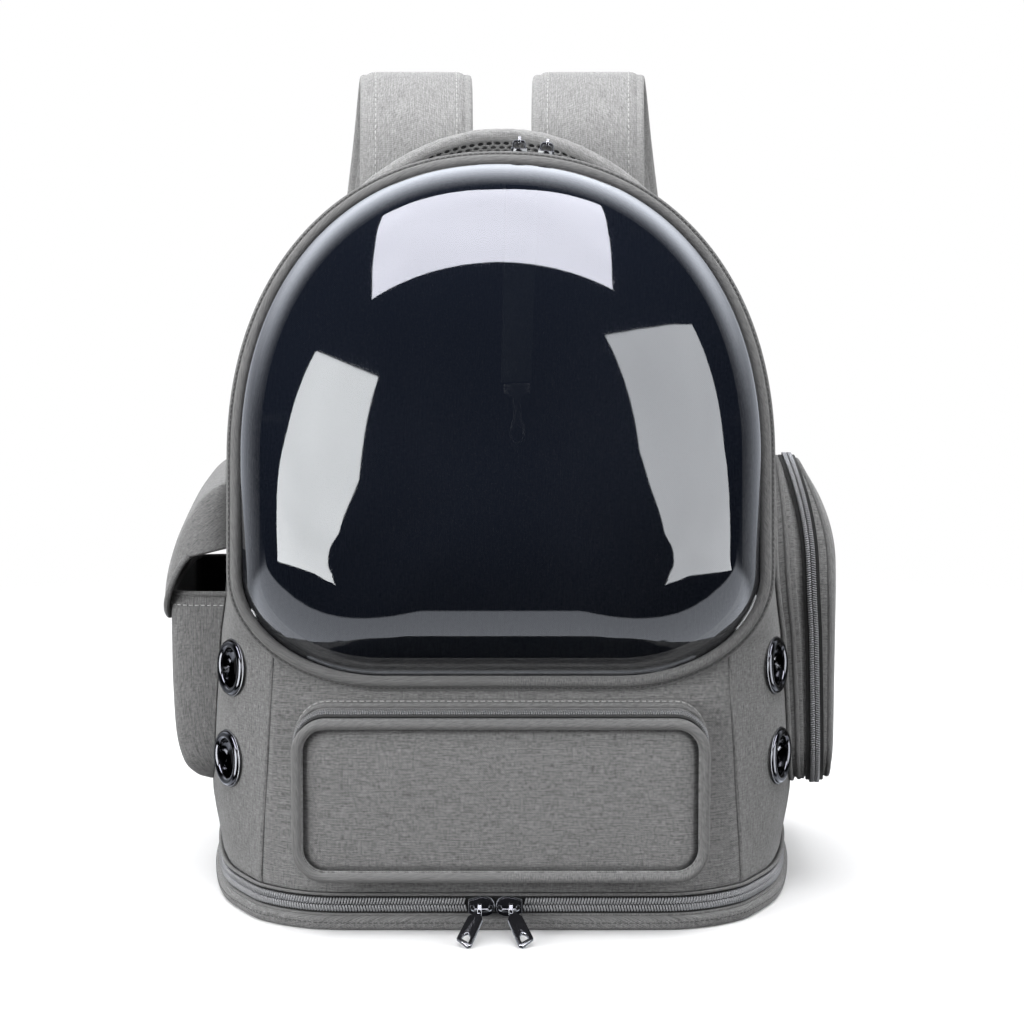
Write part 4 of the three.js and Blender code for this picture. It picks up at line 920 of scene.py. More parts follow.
def front_panel():
    seam = front_edge(SHELL_BOTTOM).x

    def place(s, t):
        k, up = 2 * eased(s) - 1, eased(t)
        low = vec(k * (seam - 0.7), front_panel_y(k * seam), SHELL_BOTTOM)
        a = k * (SEAM_TOP - 0.7)
        p = low.lerp(window_point(a, frame_bottom_at(a), SHELL_SEAT), up)
        edge = (1 - abs(k)) * seam
        tuck = SEAM_TUCK * (1 - smooth(edge, 0, 3.5)) + ZIPPER_TUCK * (1 - smooth(up * 115, 0, 3))
        return p + vec(0, tuck + ripple(p, 0.45), 0)

    laid("front_panel_cloth", place, 180, 70, [CLOTH, LINING_AND_SHADE], wall=SHELL_WALL, inside=INSIDE,
         replaces=("front_panel",), flat_map=(0, 2))


def side_panel(side):
    rows = 110
    lines = [side_section(mix(SHELL_BOTTOM, SPRING_Z - GAP, eased(j / rows, 0.3))) for j in range(rows + 1)]

    def place(s, t):
        line = lines[round(t * rows)]
        k = eased(s)
        p = line.at(k)
        out = vec(0, 0, 1).cross(line.at(k + 0.01) - line.at(k - 0.01)).normalized()
        front = (SEAM_TUCK if p.z < SEAM_TOP_Z else 0.5) * (1 - smooth(s * 260, 0, 4))
        low = ZIPPER_TUCK * (1 - smooth(p.z - SHELL_BOTTOM, 0, 3))
        p = p + out * (front + low) * (-1 if out.x > 0 else 1) + out * ripple(p, 0.4)
        return on_side(side, p)

    name = side_name(side)
    holes = [side_spot(side, VENT_Y[side], z)[0] for z in VENT_HEIGHTS]
    laid(f"side_panel_{name}_cloth", place, 150, rows, [CLOTH_UP, LINING_AND_SHADE], wall=SHELL_WALL, inside=INSIDE,
         replaces=(f"side_panel_{name}",), drop=lambda p: any((p - h).length < 12.6 for h in holes))


def top_panel():
    columns = 160
    lines = [top_section(math.pi * i / columns) for i in range(columns + 1)]

    def place(s, t):
        p = lines[round(s * columns)].at(eased(t))
        return vec(p.x, p.y, max(p.z, SPRING_Z + GAP))

    laid("top_panel_cloth", place, columns, 70, [CLOTH, LINING_AND_SHADE], wall=SHELL_WALL, inside=INSIDE,
         replaces=("top_panel",))


def back_panel():
    count, thick = 280, 4.0
    heights = [mix(SHELL_BOTTOM, SPRING_Z, i / 30) for i in range(30)]
    right = [vec(side_width(z, 4), z, 0) for z in heights]
    for i in range(41):
        x, z = arch(HALF_WIDTH * SIDE_ROWS[-1][4], BACK_TOP - SPRING_Z, math.pi / 2 * i / 40, SHELL_POWER)
        right.append(vec(x, SPRING_Z + z, 0))
    chain = [vec(0, SHELL_BOTTOM, 0)] + right + [flipped(p) for p in reversed(right[:-1])]
    loop = evenly(chain, count, loop=True)
    middle = SPRING_Z * 0.8
    profile = [(-1, 0.0), (0, 0.0), (0.2, 1.2), (0.8, 2.4), (1.8, 3.2), (4, 3.8), (9, thick), (16, thick),
               (60, thick)]

    def place(s, t):
        i, j = round(s * count) % count, round(t * (len(profile) + 1))
        if j in (0, len(profile) + 1):
            return vec(0, back_y(middle) + GAP + (thick if j else 0), middle)
        shrink, deep = profile[j - 1]
        share = 1 - max(shrink, 0) / HALF_WIDTH
        z = max(middle + (loop[i].y - middle) * share, SHELL_BOTTOM)
        return vec(loop[i].x * share, back_y(min(z, BACK_TOP)) + GAP + deep, z)

    laid("back_panel_cloth", place, count, len(profile) + 1, [CLOTH_UP], closed=True,
         replaces=("back_panel",), flat_map=(0, 2))
    path, inset = [], 1.6
    for p in loop:
        z = max(middle + (p.y - middle) * (1 - inset / HALF_WIDTH), SHELL_BOTTOM + inset)
        path.append(vec(p.x * (1 - inset / HALF_WIDTH), back_y(min(z, BACK_TOP)) + GAP + thick, z))
    swept("back_panel_piping", path, [vec(0, 1, 0)] * len(path), ring(2.1, 10), [BINDING], loop=True)


# The back pads: middle across, middle height, half width, half height, corner, and the heights of their channels.
BACK_PADS = {
    "left": (-59, 146, 50, 103, 18, (-52, 0, 52)),
    "right": (59, 146, 50, 103, 18, (-52, 0, 52)),
    "upper": (0, 347, 66, 27, 20, ()),
}


PAD_TALL, PAD_EDGE, CHANNEL_DEEP, CHANNEL_WIDE = 6.2, 22, 3.6, 3.6


def square_to_round(x, z, half_x, half_z, corner):
    """A place of a square grid drawn in at its rounded corners."""
    past_x, past_z = max(abs(x) - (half_x - corner), 0), max(abs(z) - (half_z - corner), 0)
    if past_x and past_z:
        reach, square = math.hypot(past_x, past_z), max(past_x, past_z)
        x = math.copysign(half_x - corner + past_x * square / reach, x)
        z = math.copysign(half_z - corner + past_z * square / reach, z)
    return x, z


def back_pad(name, middle_x, middle_z, half_x, half_z, corner, channels):
    """A soft mesh pad, sewn down round its edge and along its channels."""
    across, along = round(half_x * 0.9), round(half_z * 0.9) * 2

    def waist_at(z):
        return 1 - 0.02 * math.cos(math.pi / 2 * z / half_z)

    def place(s, t):
        x, z = (2 * s - 1) * half_x, (1 - 2 * abs(2 * t - 1)) * half_z
        edge = min(half_x - abs(x), half_z - abs(z))
        x, z = square_to_round(x, z, half_x, half_z, corner)
        tall = PAD_TALL * math.sqrt(1 - (1 - clamp(edge / PAD_EDGE)) ** 2)
        for channel in channels:
            tall -= CHANNEL_DEEP * math.exp(-((z - channel) / CHANNEL_WIDE) ** 2) * smooth(edge, 0, 8)
        spot = vec(middle_x + x * waist_at(z), 0, middle_z + z)
        tall += 0.7 * noise.noise(spot / 21) * smooth(edge, 0, 12)
        return vec(spot.x, back_y(spot.z) + GAP + 3.6 + (max(tall, 0) if t < 0.5 else 0), spot.z)

    pad = laid(f"back_pad_{name}", place, across, along, [MESH_CLOTH], closed=True, flat_map=(0, 2))
    pad.modifiers.new("soft", "SUBSURF")
    pad.modifiers["soft"].levels = pad.modifiers["soft"].render_levels = 1
    corners = round_corners(half_x, half_z, corner, 8)
    outline = [vec(middle_x + x * waist_at(z), 0, middle_z + z) for x, z in corners]
    outline = [vec(p.x, back_y(p.z) + GAP + 4.2, p.z) for p in evenly(outline, 160, loop=True)]
    swept(f"back_pad_{name}_binding", outline, [vec(0, 1, 0)] * 160, ring(1.9, 10, 0.9), [BINDING],
          loop=True)
    for n, channel in enumerate(channels):
        z = middle_z + channel
        line = [vec(middle_x + half_x * 0.86 * (2 * i / 40 - 1), back_y(z) + GAP + 6.3, z) for i in range(41)]
        stitches(f"back_pad_{name}_seam_{n + 1}", line, [vec(0, 1, 0)] * 41, material=DARK_THREAD)


def turned(name, profile, place, out, materials, replaces=()):
    """A closed profile of radius and height, spun about an axis."""
    bm = bmesh.new()
    verts = [bm.verts.new((r * MM, 0, h * MM)) for r, h in profile]
    edges = [bm.edges.new((verts[i - 1], verts[i])) for i in range(len(verts))]
    bmesh.ops.spin(bm, geom=verts + edges, cent=(0, 0, 0), axis=(0, 0, 1), dvec=(0, 0, 0), angle=2 * math.pi,
                   steps=56, use_merge=True)
    bmesh.ops.remove_doubles(bm, verts=bm.verts[:], dist=1e-6)
    bmesh.ops.recalc_face_normals(bm, faces=bm.faces[:])
    turn = Vector((0, 0, 1)).rotation_difference(Vector(out)).to_matrix().to_4x4()
    bmesh.ops.transform(bm, matrix=Matrix.Translation(Vector(place) * MM) @ turn, verts=bm.verts[:])
    return finish_piece(name, bm, materials, replaces)


def vent(side, z, level):
    """A metal eyelet with its washer in a side panel."""
    name = f"vent_{side_name(side)}_{level}"
    point, out = side_spot(side, VENT_Y[side], z)
    washer = [(VENT_RADIUS - 2.6, 0.25), (VENT_RADIUS - 0.1, 0.25), (VENT_RADIUS, 0.4), (VENT_RADIUS - 0.2, 0.7),
              (VENT_RADIUS - 1.0, 0.85), (VENT_RADIUS - 2.6, 0.8)]
    turned(f"{name}_washer", washer, point, out, [BINDING_METAL])
    roll, roll_middle, roll_wide, roll_low, roll_tall = [], 13.1, 2.4, 0.9, 1.9
    for i in range(15):
        turn = math.radians(-20 + 200 * i / 14)
        roll.append((roll_middle - roll_wide * math.cos(math.pi - turn), roll_low + roll_tall * math.sin(turn)))
    roll += [(VENT_HOLE + 0.1, -2), (VENT_HOLE, -6), (VENT_HOLE + 1.2, -6.3), (VENT_HOLE + 1.4, -2), (13, 0.2)]
    turned(f"{name}_eyelet", roll, point, out, [GUNMETAL], replaces=(name,))


front_panel()
side_panel(-1)
side_panel(1)
top_panel()
back_panel()
for PAD, SIZES in BACK_PADS.items():
    back_pad(PAD, *SIZES)
for SIDE in (-1, 1):
    for HEIGHT, LEVEL in zip(VENT_HEIGHTS, ("low", "high")):
        vent(SIDE, HEIGHT, LEVEL)


# Window

def band_and_piping():
    count = 320
    inner, outer = window_loop(GAP, count), window_loop(BAND_WIDTH, count)
    profile = [(0.0, -BAND_DEPTH), (0.0, 0), (0.5, 0.1), (0.9, -0.3), (1.0, -1.2), (1.0, -BAND_DEPTH)]

    def place(s, t):
        i = round(s * count) % count
        share, n = profile[round(t * 6) % 6]
        p = inner[i].lerp(outer[i], share)
        return window_point(p.x, p.y, n)

    laid("frame_binding", place, count, 6, [BINDING], closed=True, replaces=("frame_band",))
    path = [window_point(p.x, p.y, PIPING + GAP) for p in window_loop(PIPING + GAP, count)]
    swept("frame_piping_cloth", path, [WINDOW_OUT] * count, ring(PIPING, 14), [BINDING], loop=True,
          replaces=("frame_piping",))
    near, far = window_loop(-9, count), window_loop(0.5, count)

    def inner_spot(s, t):
        i = round(s * count) % count
        p = near[i].lerp(far[i], t)
        return window_point(p.x, p.y, SHELL_SEAT - 2.6)

    laid("window_inner_binding", inner_spot, count, 6, [CLOTH, CLOTH], loop=True, wall=1.2,
         inside=window_point(0, DOME_CENTRE, -300))
    welt = [window_point(p.x, p.y, -BAND_DEPTH + 0.6) for p in window_loop(BAND_WIDTH + 0.9, count)]
    swept("frame_welt", welt, [WINDOW_OUT] * count, ring(1.6, 10), [BINDING], loop=True)
    line = [window_point(p.x, p.y, -BAND_DEPTH + 2.15) for p in window_loop(BAND_WIDTH + 1.2, count)]
    stitches("frame_stitches", line, [WINDOW_OUT] * count, loop=True, pitch=3.0, material=DARK_THREAD, lift=0)


# The powers of the bubble's reach and rise, from its rim to its middle: at the sides and top, then at the bottom.
DOME_POWERS = ((3.3, 3.3), (2.6, 1.3))
DOME_CENTRE = WINDOW_SPRING * 0.95
DOME_BLEND = DOME_CENTRE + 30


def dome_spot(rim, k):
    """A point of the bubble: rim is a point of its outline, k runs from the rim to the middle."""
    fall = clamp((DOME_BLEND - rim.y) / DOME_BLEND)
    low = fall ** 3 * (fall * (fall * 6 - 15) + 10)
    reach_power, rise_power = (mix(a, b, low) for a, b in zip(*DOME_POWERS))
    turn = math.pi / 2 * k ** 1.5
    reach, rise = max(math.cos(turn), 0) ** (2 / reach_power), math.sin(turn) ** (2 / rise_power)
    return window_point(rim.x * reach, DOME_CENTRE + (rim.y - DOME_CENTRE) * reach,
                        SHELL_SEAT + (DOME_DEPTH - SHELL_SEAT) * rise)


def dome():
    count, rows = 320, 110
    rim, flange = window_loop(-GAP, count), window_loop(1, count)

    def place(s, t):
        i, j = round(s * count) % count, round(t * (rows + 1))
        if j == 0:
            return window_point(flange[i].x, flange[i].y, SHELL_SEAT)
        return dome_spot(rim[i], (j - 1) / rows)

    laid("bubble", place, count, rows + 1, [SMOKE, SMOKE_INNER], loop=True, wall=2.0,
         inside=window_point(0, DOME_CENTRE, -300), replaces=("dome_window",))


band_and_piping()
dome()


# Front pocket

def rounded_loop(half, low, high, radius, count):
    """A rounded rectangle's outline at equal distances, from its bottom middle."""
    corners = round_corners(half, (high - low) / 2, radius, 12)
    chain = [vec(x, (low + high) / 2 + y, 0) for x, y in corners]
    return evenly([vec(0, low, 0)] + chain, count, loop=True)


POCKET_FACE = front_surface(0, POCKET_HIGH) - POCKET_DEPTH
# From the panel (0) to the face (1): how much smaller the pocket is, and how far its top still lifts.
POCKET_ROWS = Line([vec(0, 0, 1), vec(0.35, 0.5, 0.75), vec(0.85, 1, 0.2), vec(0.97, 2.0, 0.02), vec(1, 3, 0)])


def pocket_line(shrink, lift, out, count, grow=0.0):
    """The pocket's outline, drawn in by shrink, between the panel (out 0) and the face (out 1)."""
    loop = rounded_loop(POCKET_HALF - shrink + grow, POCKET_LOW + shrink - grow, POCKET_HIGH - shrink + grow,
                        POCKET_ROUND - min(shrink, POCKET_ROUND / 2) + grow, count)
    middle = (POCKET_LOW + POCKET_HIGH) / 2
    made = []
    for p in loop:
        z = p.y + POCKET_RISE * lift * smooth(p.y, middle, POCKET_HIGH - 10)
        made.append(vec(p.x, mix(front_surface(p.x, z) - 1.2, POCKET_FACE, out), z))
    return made


POCKET_COUNT = 260
POCKET_INSIDE = (0, 0, (POCKET_LOW + POCKET_HIGH) / 2)


def front_pocket():
    """The pocket's sides and face, and the piping round its face."""
    count, rows = POCKET_COUNT, 24
    rings = []
    for j in range(rows + 1):
        out, shrink, lift = POCKET_ROWS.at(j / rows)
        rings.append(pocket_line(shrink, lift, out, count))

    laid("front_pocket_sides", lambda s, t: rings[round(t * rows)][round(s * count) % count], count, rows,
         [CLOTH, LINING_AND_SHADE], loop=True, wall=2, inside=POCKET_INSIDE)
    half_x, half_z = POCKET_HALF - 3, (POCKET_HIGH - POCKET_LOW) / 2 - 3
    crown_tall, crown_edge, rim_dip, corner = 2.6, 12, 3.2, 13.0

    def face(s, t):
        x, z = mix(-1, 1, eased(s)) * half_x, mix(-1, 1, eased(t)) * half_z
        edge = max(min(half_x - abs(x), half_z - abs(z)), 0)
        x, z = square_to_round(x, z, half_x, half_z, corner)
        crown = crown_tall * (1 - math.exp(-edge / crown_edge)) - 1.2 - rim_dip * (1 - smooth(edge, 0, 4))
        z += (POCKET_LOW + POCKET_HIGH) / 2
        return vec(x, POCKET_FACE - crown - ripple(vec(x, 0, z), 0.5), z)

    laid("front_pocket_face", face, 130, 60, [CLOTH, LINING_AND_SHADE], wall=2, inside=POCKET_INSIDE,
         replaces=("front_pocket",), flat_map=(0, 2))
    offset = (PIPING + GAP) * math.sqrt(0.5)
    path = [vec(p.x, p.y - offset, p.z) for p in pocket_line(3, 0, 1, count, offset)]
    swept("front_pocket_piping_cloth", path, [vec(0, -1, 0)] * count, ring(PIPING, 12), [BINDING],
          loop=True, replaces=("front_pocket_piping",))


def front_pocket_zipper():
    """The zipper over the pocket's top and sides, with its hems and stitches."""
    def line_at(share, grow=0.5):
        out, shrink, lift = POCKET_ROWS.at(share)
        return pocket_line(shrink, lift, out, POCKET_COUNT, grow)

    first, last = round(POCKET_COUNT * 0.24), round(POCKET_COUNT * 0.76)
    path, before, after = (line_at(k)[first:last] for k in (0.4, 0.32, 0.48))
    outs = outs_beside(path, [b - a for a, b in zip(before, after)], lambda p: vec(p.x, 0, p.z - 75))
    swept("front_pocket_tape", path, outs, slab(9.4, 1.0, 0.4), [TAPE], replaces=("front_pocket_zipper",))
    coil("front_pocket_coil", raised(path, outs, 0.9), outs, 4.6, pitch=1.25, tall=1.3)
    for n, share in (("back", 0.25), ("front", 0.57)):
        hem = line_at(share, 0.9)[first - 2:last + 2]
        swept(f"front_pocket_hem_{n}", hem, outs_from(hem, (0, -125, 75)), ring(1.3, 8), [CLOTH])
    seam = line_at(0.13, 1.0)[first:last]
    stitches("front_pocket_stitches", seam, outs_from(seam, (0, -120, 75)), pitch=3.6)


def front_pocket_pull():
    """The cord loop of the pocket's slider, on its left side."""
    x, z = 0.8 - POCKET_HALF, mix(POCKET_LOW, POCKET_HIGH, 0.42)
    y = mix(front_surface(x, z), POCKET_FACE, 0.55)
    turns = [math.pi * (i / 16 - 0.5) for i in range(17)]
    bend = [vec(x - 1.6 * math.cos(turn) - 1.4, y, z + 5 * math.sin(turn)) for turn in turns]
    swept("front_pocket_pull_cord", bend, [vec(0, -1, 0)] * 17, ring(1.0, 10), [BLACK],
          replaces=("front_pocket_pull",))


front_pocket()
front_pocket_zipper()
front_pocket_pull()


# Side pockets

def zip_loop(shrink, count):
    """The right pocket's outline, drawn in by shrink: square below with round corners, arched above."""
    half, low = SIDE_HALF - shrink, SIDE_LOW + shrink
    spring = ZIP_TOP - SIDE_HALF * 1.1
    rise = ZIP_TOP - shrink - spring
    r = ZIP_ROUND - min(shrink, ZIP_ROUND / 2)
    chain = [vec(0, low, 0)]
    for i in range(13):
        turn = math.pi / 2 * i / 12
        chain.append(vec(half - r + r * math.sin(turn), low + r - r * math.cos(turn), 0))
    for i in range(25):
        turn = math.pi / 2 * i / 24
        chain.append(vec(half * math.cos(turn), spring + rise * math.sin(turn), 0))
    chain += [flipped(p) for p in reversed(chain[1:-1])]
    return [vec(p.x + SIDE_Y, p.y, 0) for p in evenly(chain, count, loop=True)]


def zip_point(y, z, out):
    """A point of the right pocket, between the shell (out 0) and the pocket's face (out 1)."""
    base = side_at(y, z) + 2 * GAP
    high = max((z - ZIP_UPRIGHT) / (ZIP_TOP - ZIP_UPRIGHT), 0)
    return vec(mix(base, ZIP_FACE - ZIP_FALL * high ** 2, out), y, z)


ZIP_ROWS = Line([vec(0, 0, 0), vec(0.3, -1.5, 0), vec(0.42, 0, 0), vec(0.72, 0, 0), vec(0.9, 3, 0), vec(1, 12, 0),
                 vec(1.06, 34, 0)])


def zip_pocket():
    count, rows = 240, 60
    rings = []
    for j in range(rows + 1):
        out, shrink, _ = ZIP_ROWS.at(j / rows)
        rings.append([zip_point(p.x, p.y, out) for p in zip_loop(shrink, count)])
    middle = zip_point(SIDE_Y, (SIDE_LOW + ZIP_TOP) / 2, 1.08)

    def place(s, t):
        j = round(t * (rows + 8))
        i = round(s * count) % count
        if j <= rows:
            return rings[j][i]
        return rings[rows][i].lerp(middle, (j - rows) / 8)

    laid("zip_pocket_cloth", place, count, rows + 8, [CLOTH_UP, LINING_AND_SHADE], loop=True, wall=2,
         inside=(0, SIDE_Y, 150), replaces=("zip_pocket",))


def zip_pocket_zipper():
    count = 240
    first, last = round(count * 0.06), round(count * 0.94)

    def line(out, shrink):
        return [zip_point(p.x, p.y, out) for p in zip_loop(shrink, count)]

    path, before, after = (line(out, -1.2)[first:last] for out in (0.57, 0.45, 0.69))
    middle = vec(path[0].x, SIDE_Y, (SIDE_LOW + ZIP_TOP) / 2)
    outs = outs_beside(path, [b - a for a, b in zip(before, after)], lambda p: p - middle)
    swept("zip_pocket_tape", path, outs, slab(9.6, 1.0, 0.4), [TAPE], replaces=("zip_pocket_zipper",))
    coil("zip_pocket_coil", raised(path, outs, 0.9), outs, 5.2, pitch=1.3)
    for name, out, shrink, section, material, slot in (
        ("inner_welt", 0.2, -0.6, ring(1.5, 10), BINDING, "piping"),
        ("outer_welt", 0.87, 1.0, ring(1.5, 10), BINDING, "piping"),
        ("seam", 0.03, -1.6, ring(1.3, 8), CLOTH, "heather_cloth"),
    ):
        hem = line(out, shrink)
        hem_outs = [vec(0, p.y - SIDE_Y, p.z - middle.z).normalized() for p in hem]
        swept(f"zip_pocket_{name}", hem, hem_outs, section, [material], loop=True)


FLAP_ROWS = Line([vec(0, 0.14, 0.78), vec(0.03, 0.5, 0.86), vec(0.1, 0.76, 0.95), vec(0.24, 0.93, 0.99),
                  vec(0.5, 1, 1), vec(0.8, 1.01, 1), vec(1, 1, 1)])


OPEN_PLAN = Line([vec(-1, 0, 0), vec(-1, 0.45, 0), vec(-1, 0.8, 0.12), vec(-1, 0.95, 0.4), vec(-1, 1, 1),
                  vec(0, 1.03, 0), vec(1, 1, -1), vec(1, 0.95, -0.4), vec(1, 0.8, -0.12), vec(1, 0.45, 0),
                  vec(1, 0, 0)])


def open_pocket():
    def place(s, t):
        up, deep, half = FLAP_ROWS.at(t)
        end, out, inward = OPEN_PLAN.at(s)
        z = mix(SIDE_LOW, OPEN_TOP, clamp(up))
        y = SIDE_Y + end * SIDE_HALF * half + inward * OPEN_ROUND
        return vec(-mix(side_at(y, z) + GAP, OPEN_FACE, deep * out), y, z)

    laid("open_pocket_cloth", place, 150, 80, [CLOTH_UP, LINING_AND_SHADE], wall=2, inside=(0, SIDE_Y, OPEN_TOP),
         replaces=("flap_pocket",))


def flap_spot(s, t):
    """A point of the flap: s runs along it from front to back, t from its seam out to its free edge."""
    turn = math.pi * s
    wide, full = (math.sin(turn) ** 0.6, math.sin(turn) ** 0.15) if 0 < s < 1 else (0.0, 0.0)
    y = SIDE_Y - math.cos(turn) * (1 + 0.08 * t) * SIDE_HALF * mix(0.86, 1.04, t)
    z = mix(FLAP_TOP - 3 * (1 - wide), mix(FLAP_FRONT, FLAP_LOW, wide), t ** 1.25)
    out = full * math.sin(math.pi / 2 * t) ** 0.75
    surface = side_at(y, min(z, FLAP_TOP)) + GAP + FLAP_WALL
    return vec(-mix(surface, FLAP_FACE, out) + ripple(vec(0, y, z), 0.8), y, z)


def pocket_flap():
    laid("flap_cloth", flap_spot, 120, 60, [CLOTH_UP, CLOTH_UP], wall=FLAP_WALL, inside=(0, SIDE_Y, FLAP_LOW),
         replaces=("pocket_flap",))


def pocket_trims():
    """The hem of the open pocket's mouth, the flap's binding, and the stitches on both."""
    path = []
    for i in range(121):
        end, out, inward = OPEN_PLAN.at(i / 120)
        y = SIDE_Y + end * SIDE_HALF + inward * OPEN_ROUND
        path.append((y, out))

    def mouth(z, more):
        return [vec(-mix(side_at(y, z) + GAP, OPEN_FACE + more, out), y, z) for y, out in path]

    rim = [p + vec(0.9, 0, 0) for p in mouth(OPEN_TOP - 0.4, 0.0)]
    swept("open_pocket_hem", rim, [vec(0, 0, 1)] * len(rim), ring(1.5, 10), [BINDING])
    seam = mouth(OPEN_TOP - 7, 0.1)
    outs = outs_beside(seam, [vec(0, 0, 1)] * len(seam), lambda p: vec(p.x + 140, p.y - SIDE_Y, 0))
    stitches("open_pocket_stitches", seam, outs, lift=0.2)
    edge = [flap_spot(i / 120, 1.0) for i in range(1, 120)]
    swept("flap_binding", [p + vec(1.0, 0, 0.6) for p in edge], outs_from(edge, (-100, SIDE_Y, 200)),
          ring(1.9, 10, 0.8), [BINDING])


zip_pocket()
zip_pocket_zipper()
open_pocket()
pocket_flap()
pocket_trims()


# Handle and straps

def handle_share(k):
    """How high the handle stands at a share of its length, from 0 at its roots to 1."""
    return max(math.cos(math.pi / 2 * (2 * k - 1)), 0)


HANDLE_CREST = HANDLE_TOP - HANDLE_THICK - top_at(0, HANDLE_Y)


def handle_line(count):
    """Place, across and out along the handle."""
    path = []
    for i in range(count + 1):
        k = i / count
        x = HANDLE_HALF * (2 * k - 1)
        path.append(vec(x, HANDLE_Y, top_at(x, HANDLE_Y) + HANDLE_CREST * handle_share(k) ** 0.9))
    sides = []
    for i, p in enumerate(path):
        share = handle_share(i / count)
        fall = top_at(p.x, HANDLE_Y - HANDLE_WIDE / 3) - top_at(p.x, HANDLE_Y + HANDLE_WIDE / 3)
        tilt = mix(math.atan2(fall, 2 * HANDLE_WIDE / 3), math.radians(28), share ** 0.7)
        sides.append(vec(0, math.cos(tilt), -math.sin(tilt)))
    return list(zip(path, sides, outs_beside(path, sides, lambda p: vec(0, 0, 1))))


def handle():
    count = 60
    line = handle_line(count)
    half, low = HANDLE_WIDE / 2, 2.4

    def section(fat):
        """The handle across: a soft roll at the front, then a thin pad to the back."""
        nose = fat * 1.25
        return Line([vec(-half + nose + 2, low, 0), vec(0, low, 0), vec(half - 3, low, 0), vec(half, low + 2.4, 0),
                     vec(half - 3, HANDLE_THICK, 0), vec(0, HANDLE_THICK + 1, 0),
                     vec(-half + nose, HANDLE_THICK + 0.4, 0), vec(-half, 3.4 + fat * 0.7, 0),
                     vec(-half - 1.6, 3.0, 0), vec(-half + 0.4, 3.0 - fat, 0), vec(-half + nose, 2.4 - fat, 0),
                     vec(-half + nose + 2, low, 0)])

    fats = [mix(4.4, 2.9, handle_share(i / count)) for i in range(count + 1)]
    sections = [section(fat) for fat in fats]

    def place(s, t):
        j = round(t * (count + 2))
        i = min(max(j - 1, 0), count)
        p, across, out = line[i]
        if j in (0, count + 2):
            return p + out * 4.5
        a, o, _ = sections[i].at(s)
        gather = 0.5 * noise.noise(Vector((i * 0.9, s * 6, 3.0)))
        return p + across * a + out * (o + gather)

    roll = laid("handle_roll", place, 66, count + 2, [STRAP_CLOTH], closed=True,
                replaces=("carry_handle",))

    def under(s, t):
        p, across, out = line[round(s * count)]
        return p + across * mix(-half + 5.5, half - 2, t) + out * (2 - 1.6 * math.sin(math.pi * t))

    laid("handle_air_mesh", under, count, 30, [MESH_CLOTH], wall=1.8, inside=(0, 94, 600),
         replaces=("handle_mesh",))


STRAP_LINE = [
    (-0.015, 0.5, 0), (0.01, 0.68, 0), (0.1, 0.86, 0), (0.32, 0.975, 0.01), (0.56, 1, 0.03), (0.8, 0.93, 0.07),
    (0.94, 0.72, 0.14), (1, 0.42, 0.25), (0.98, 0.08, 0.38), (0.9, -0.3, 0.55), (0.78, -0.68, 0.72),
    (0.62, -1.02, 0.86),
]
STRAP_ROOT = HANDLE_TOP - 120
BACK_FACE = BACK_REACH + BACK_THICK + GAP


def strap_point(out, up, aside):
    """A point of the strap's middle line, from its shares out of the back, up and aside."""
    return vec(STRAP_INNER + STRAP_WIDE / 2 + STRAP_SPREAD * aside, BACK_FACE - BACK_LEAN * 0.55 + STRAP_LOOP * out,
               mix(STRAP_ROOT, STRAP_TOP - STRAP_THICK / 2, up))


STRAP = Line([strap_point(*row) for row in STRAP_LINE])
STRAP_WEB_START = strap_point(*STRAP_LINE[-1]) + STRAP.way(1) * (30 + 3 * GAP)


def strap_spot(k, a, o):
    """A point beside a strap's middle line: a across it, o out of its outer face."""
    along = STRAP.way(k)
    out = vec(1, 0, 0).cross(along).normalized()
    return STRAP.even(k) + along.cross(out) * a + out * o


def strap_half(k):
    return STRAP_WIDE / 2 * mix(1, 0.72, smooth(k, 0.72, 1))


def shoulder_strap(side):
    count = 150
    name, thick = side_name(side), STRAP_THICK / 2

    def place(s, t):
        j = round(t * (count + 2))
        k = clamp((j - 1) / count)
        if j in (0, count + 2):
            p = strap_spot(k, 0, 0)
        else:
            turn = 2 * math.pi * s
            half = strap_half(k)
            a = half * math.copysign(abs(math.cos(turn)) ** 0.3, math.cos(turn))
            edge = 1 - abs(a) / half
            puff = 0.42 + 0.58 * smooth(edge * half, 0, 7)
            o = thick * puff * math.copysign(abs(math.sin(turn)) ** 0.35, math.sin(turn))
            p = strap_spot(k, a, o)
        return on_side(side, p)

    strap = laid(f"strap_{name}_pad", place, 96, count + 2, [STRAP_CLOTH], closed=True,
                 replaces=(f"shoulder_strap_{name}",))


def yoke():
    """The padded band over the roots of the straps."""
    high = strap_point(*STRAP_LINE[0]).z - GAP

    tall, half, thick, rows = 34, 98, 3.5, 30

    def place(s, t):
        j = round(t * rows)
        z = high - tall * (j / rows)
        seat = back_y(z) + BACK_THICK + 2 * GAP
        turn = 2 * math.pi * s
        x = half * math.copysign(abs(math.cos(turn)) ** 0.25, math.cos(turn))
        bulge = math.sin(math.pi * clamp(mix(0.12, 0.9, j / rows))) ** 0.5
        deep = thick + thick * bulge * math.copysign(abs(math.sin(turn)) ** 0.35, math.sin(turn))
        if j in (0, rows):
            return vec(x * 0.99, seat + thick, z)
        return vec(x, seat + deep, z)

    band = laid("yoke_pad", place, 80, rows, [STRAP_CLOTH], closed=True,
                replaces=("strap_yoke",))


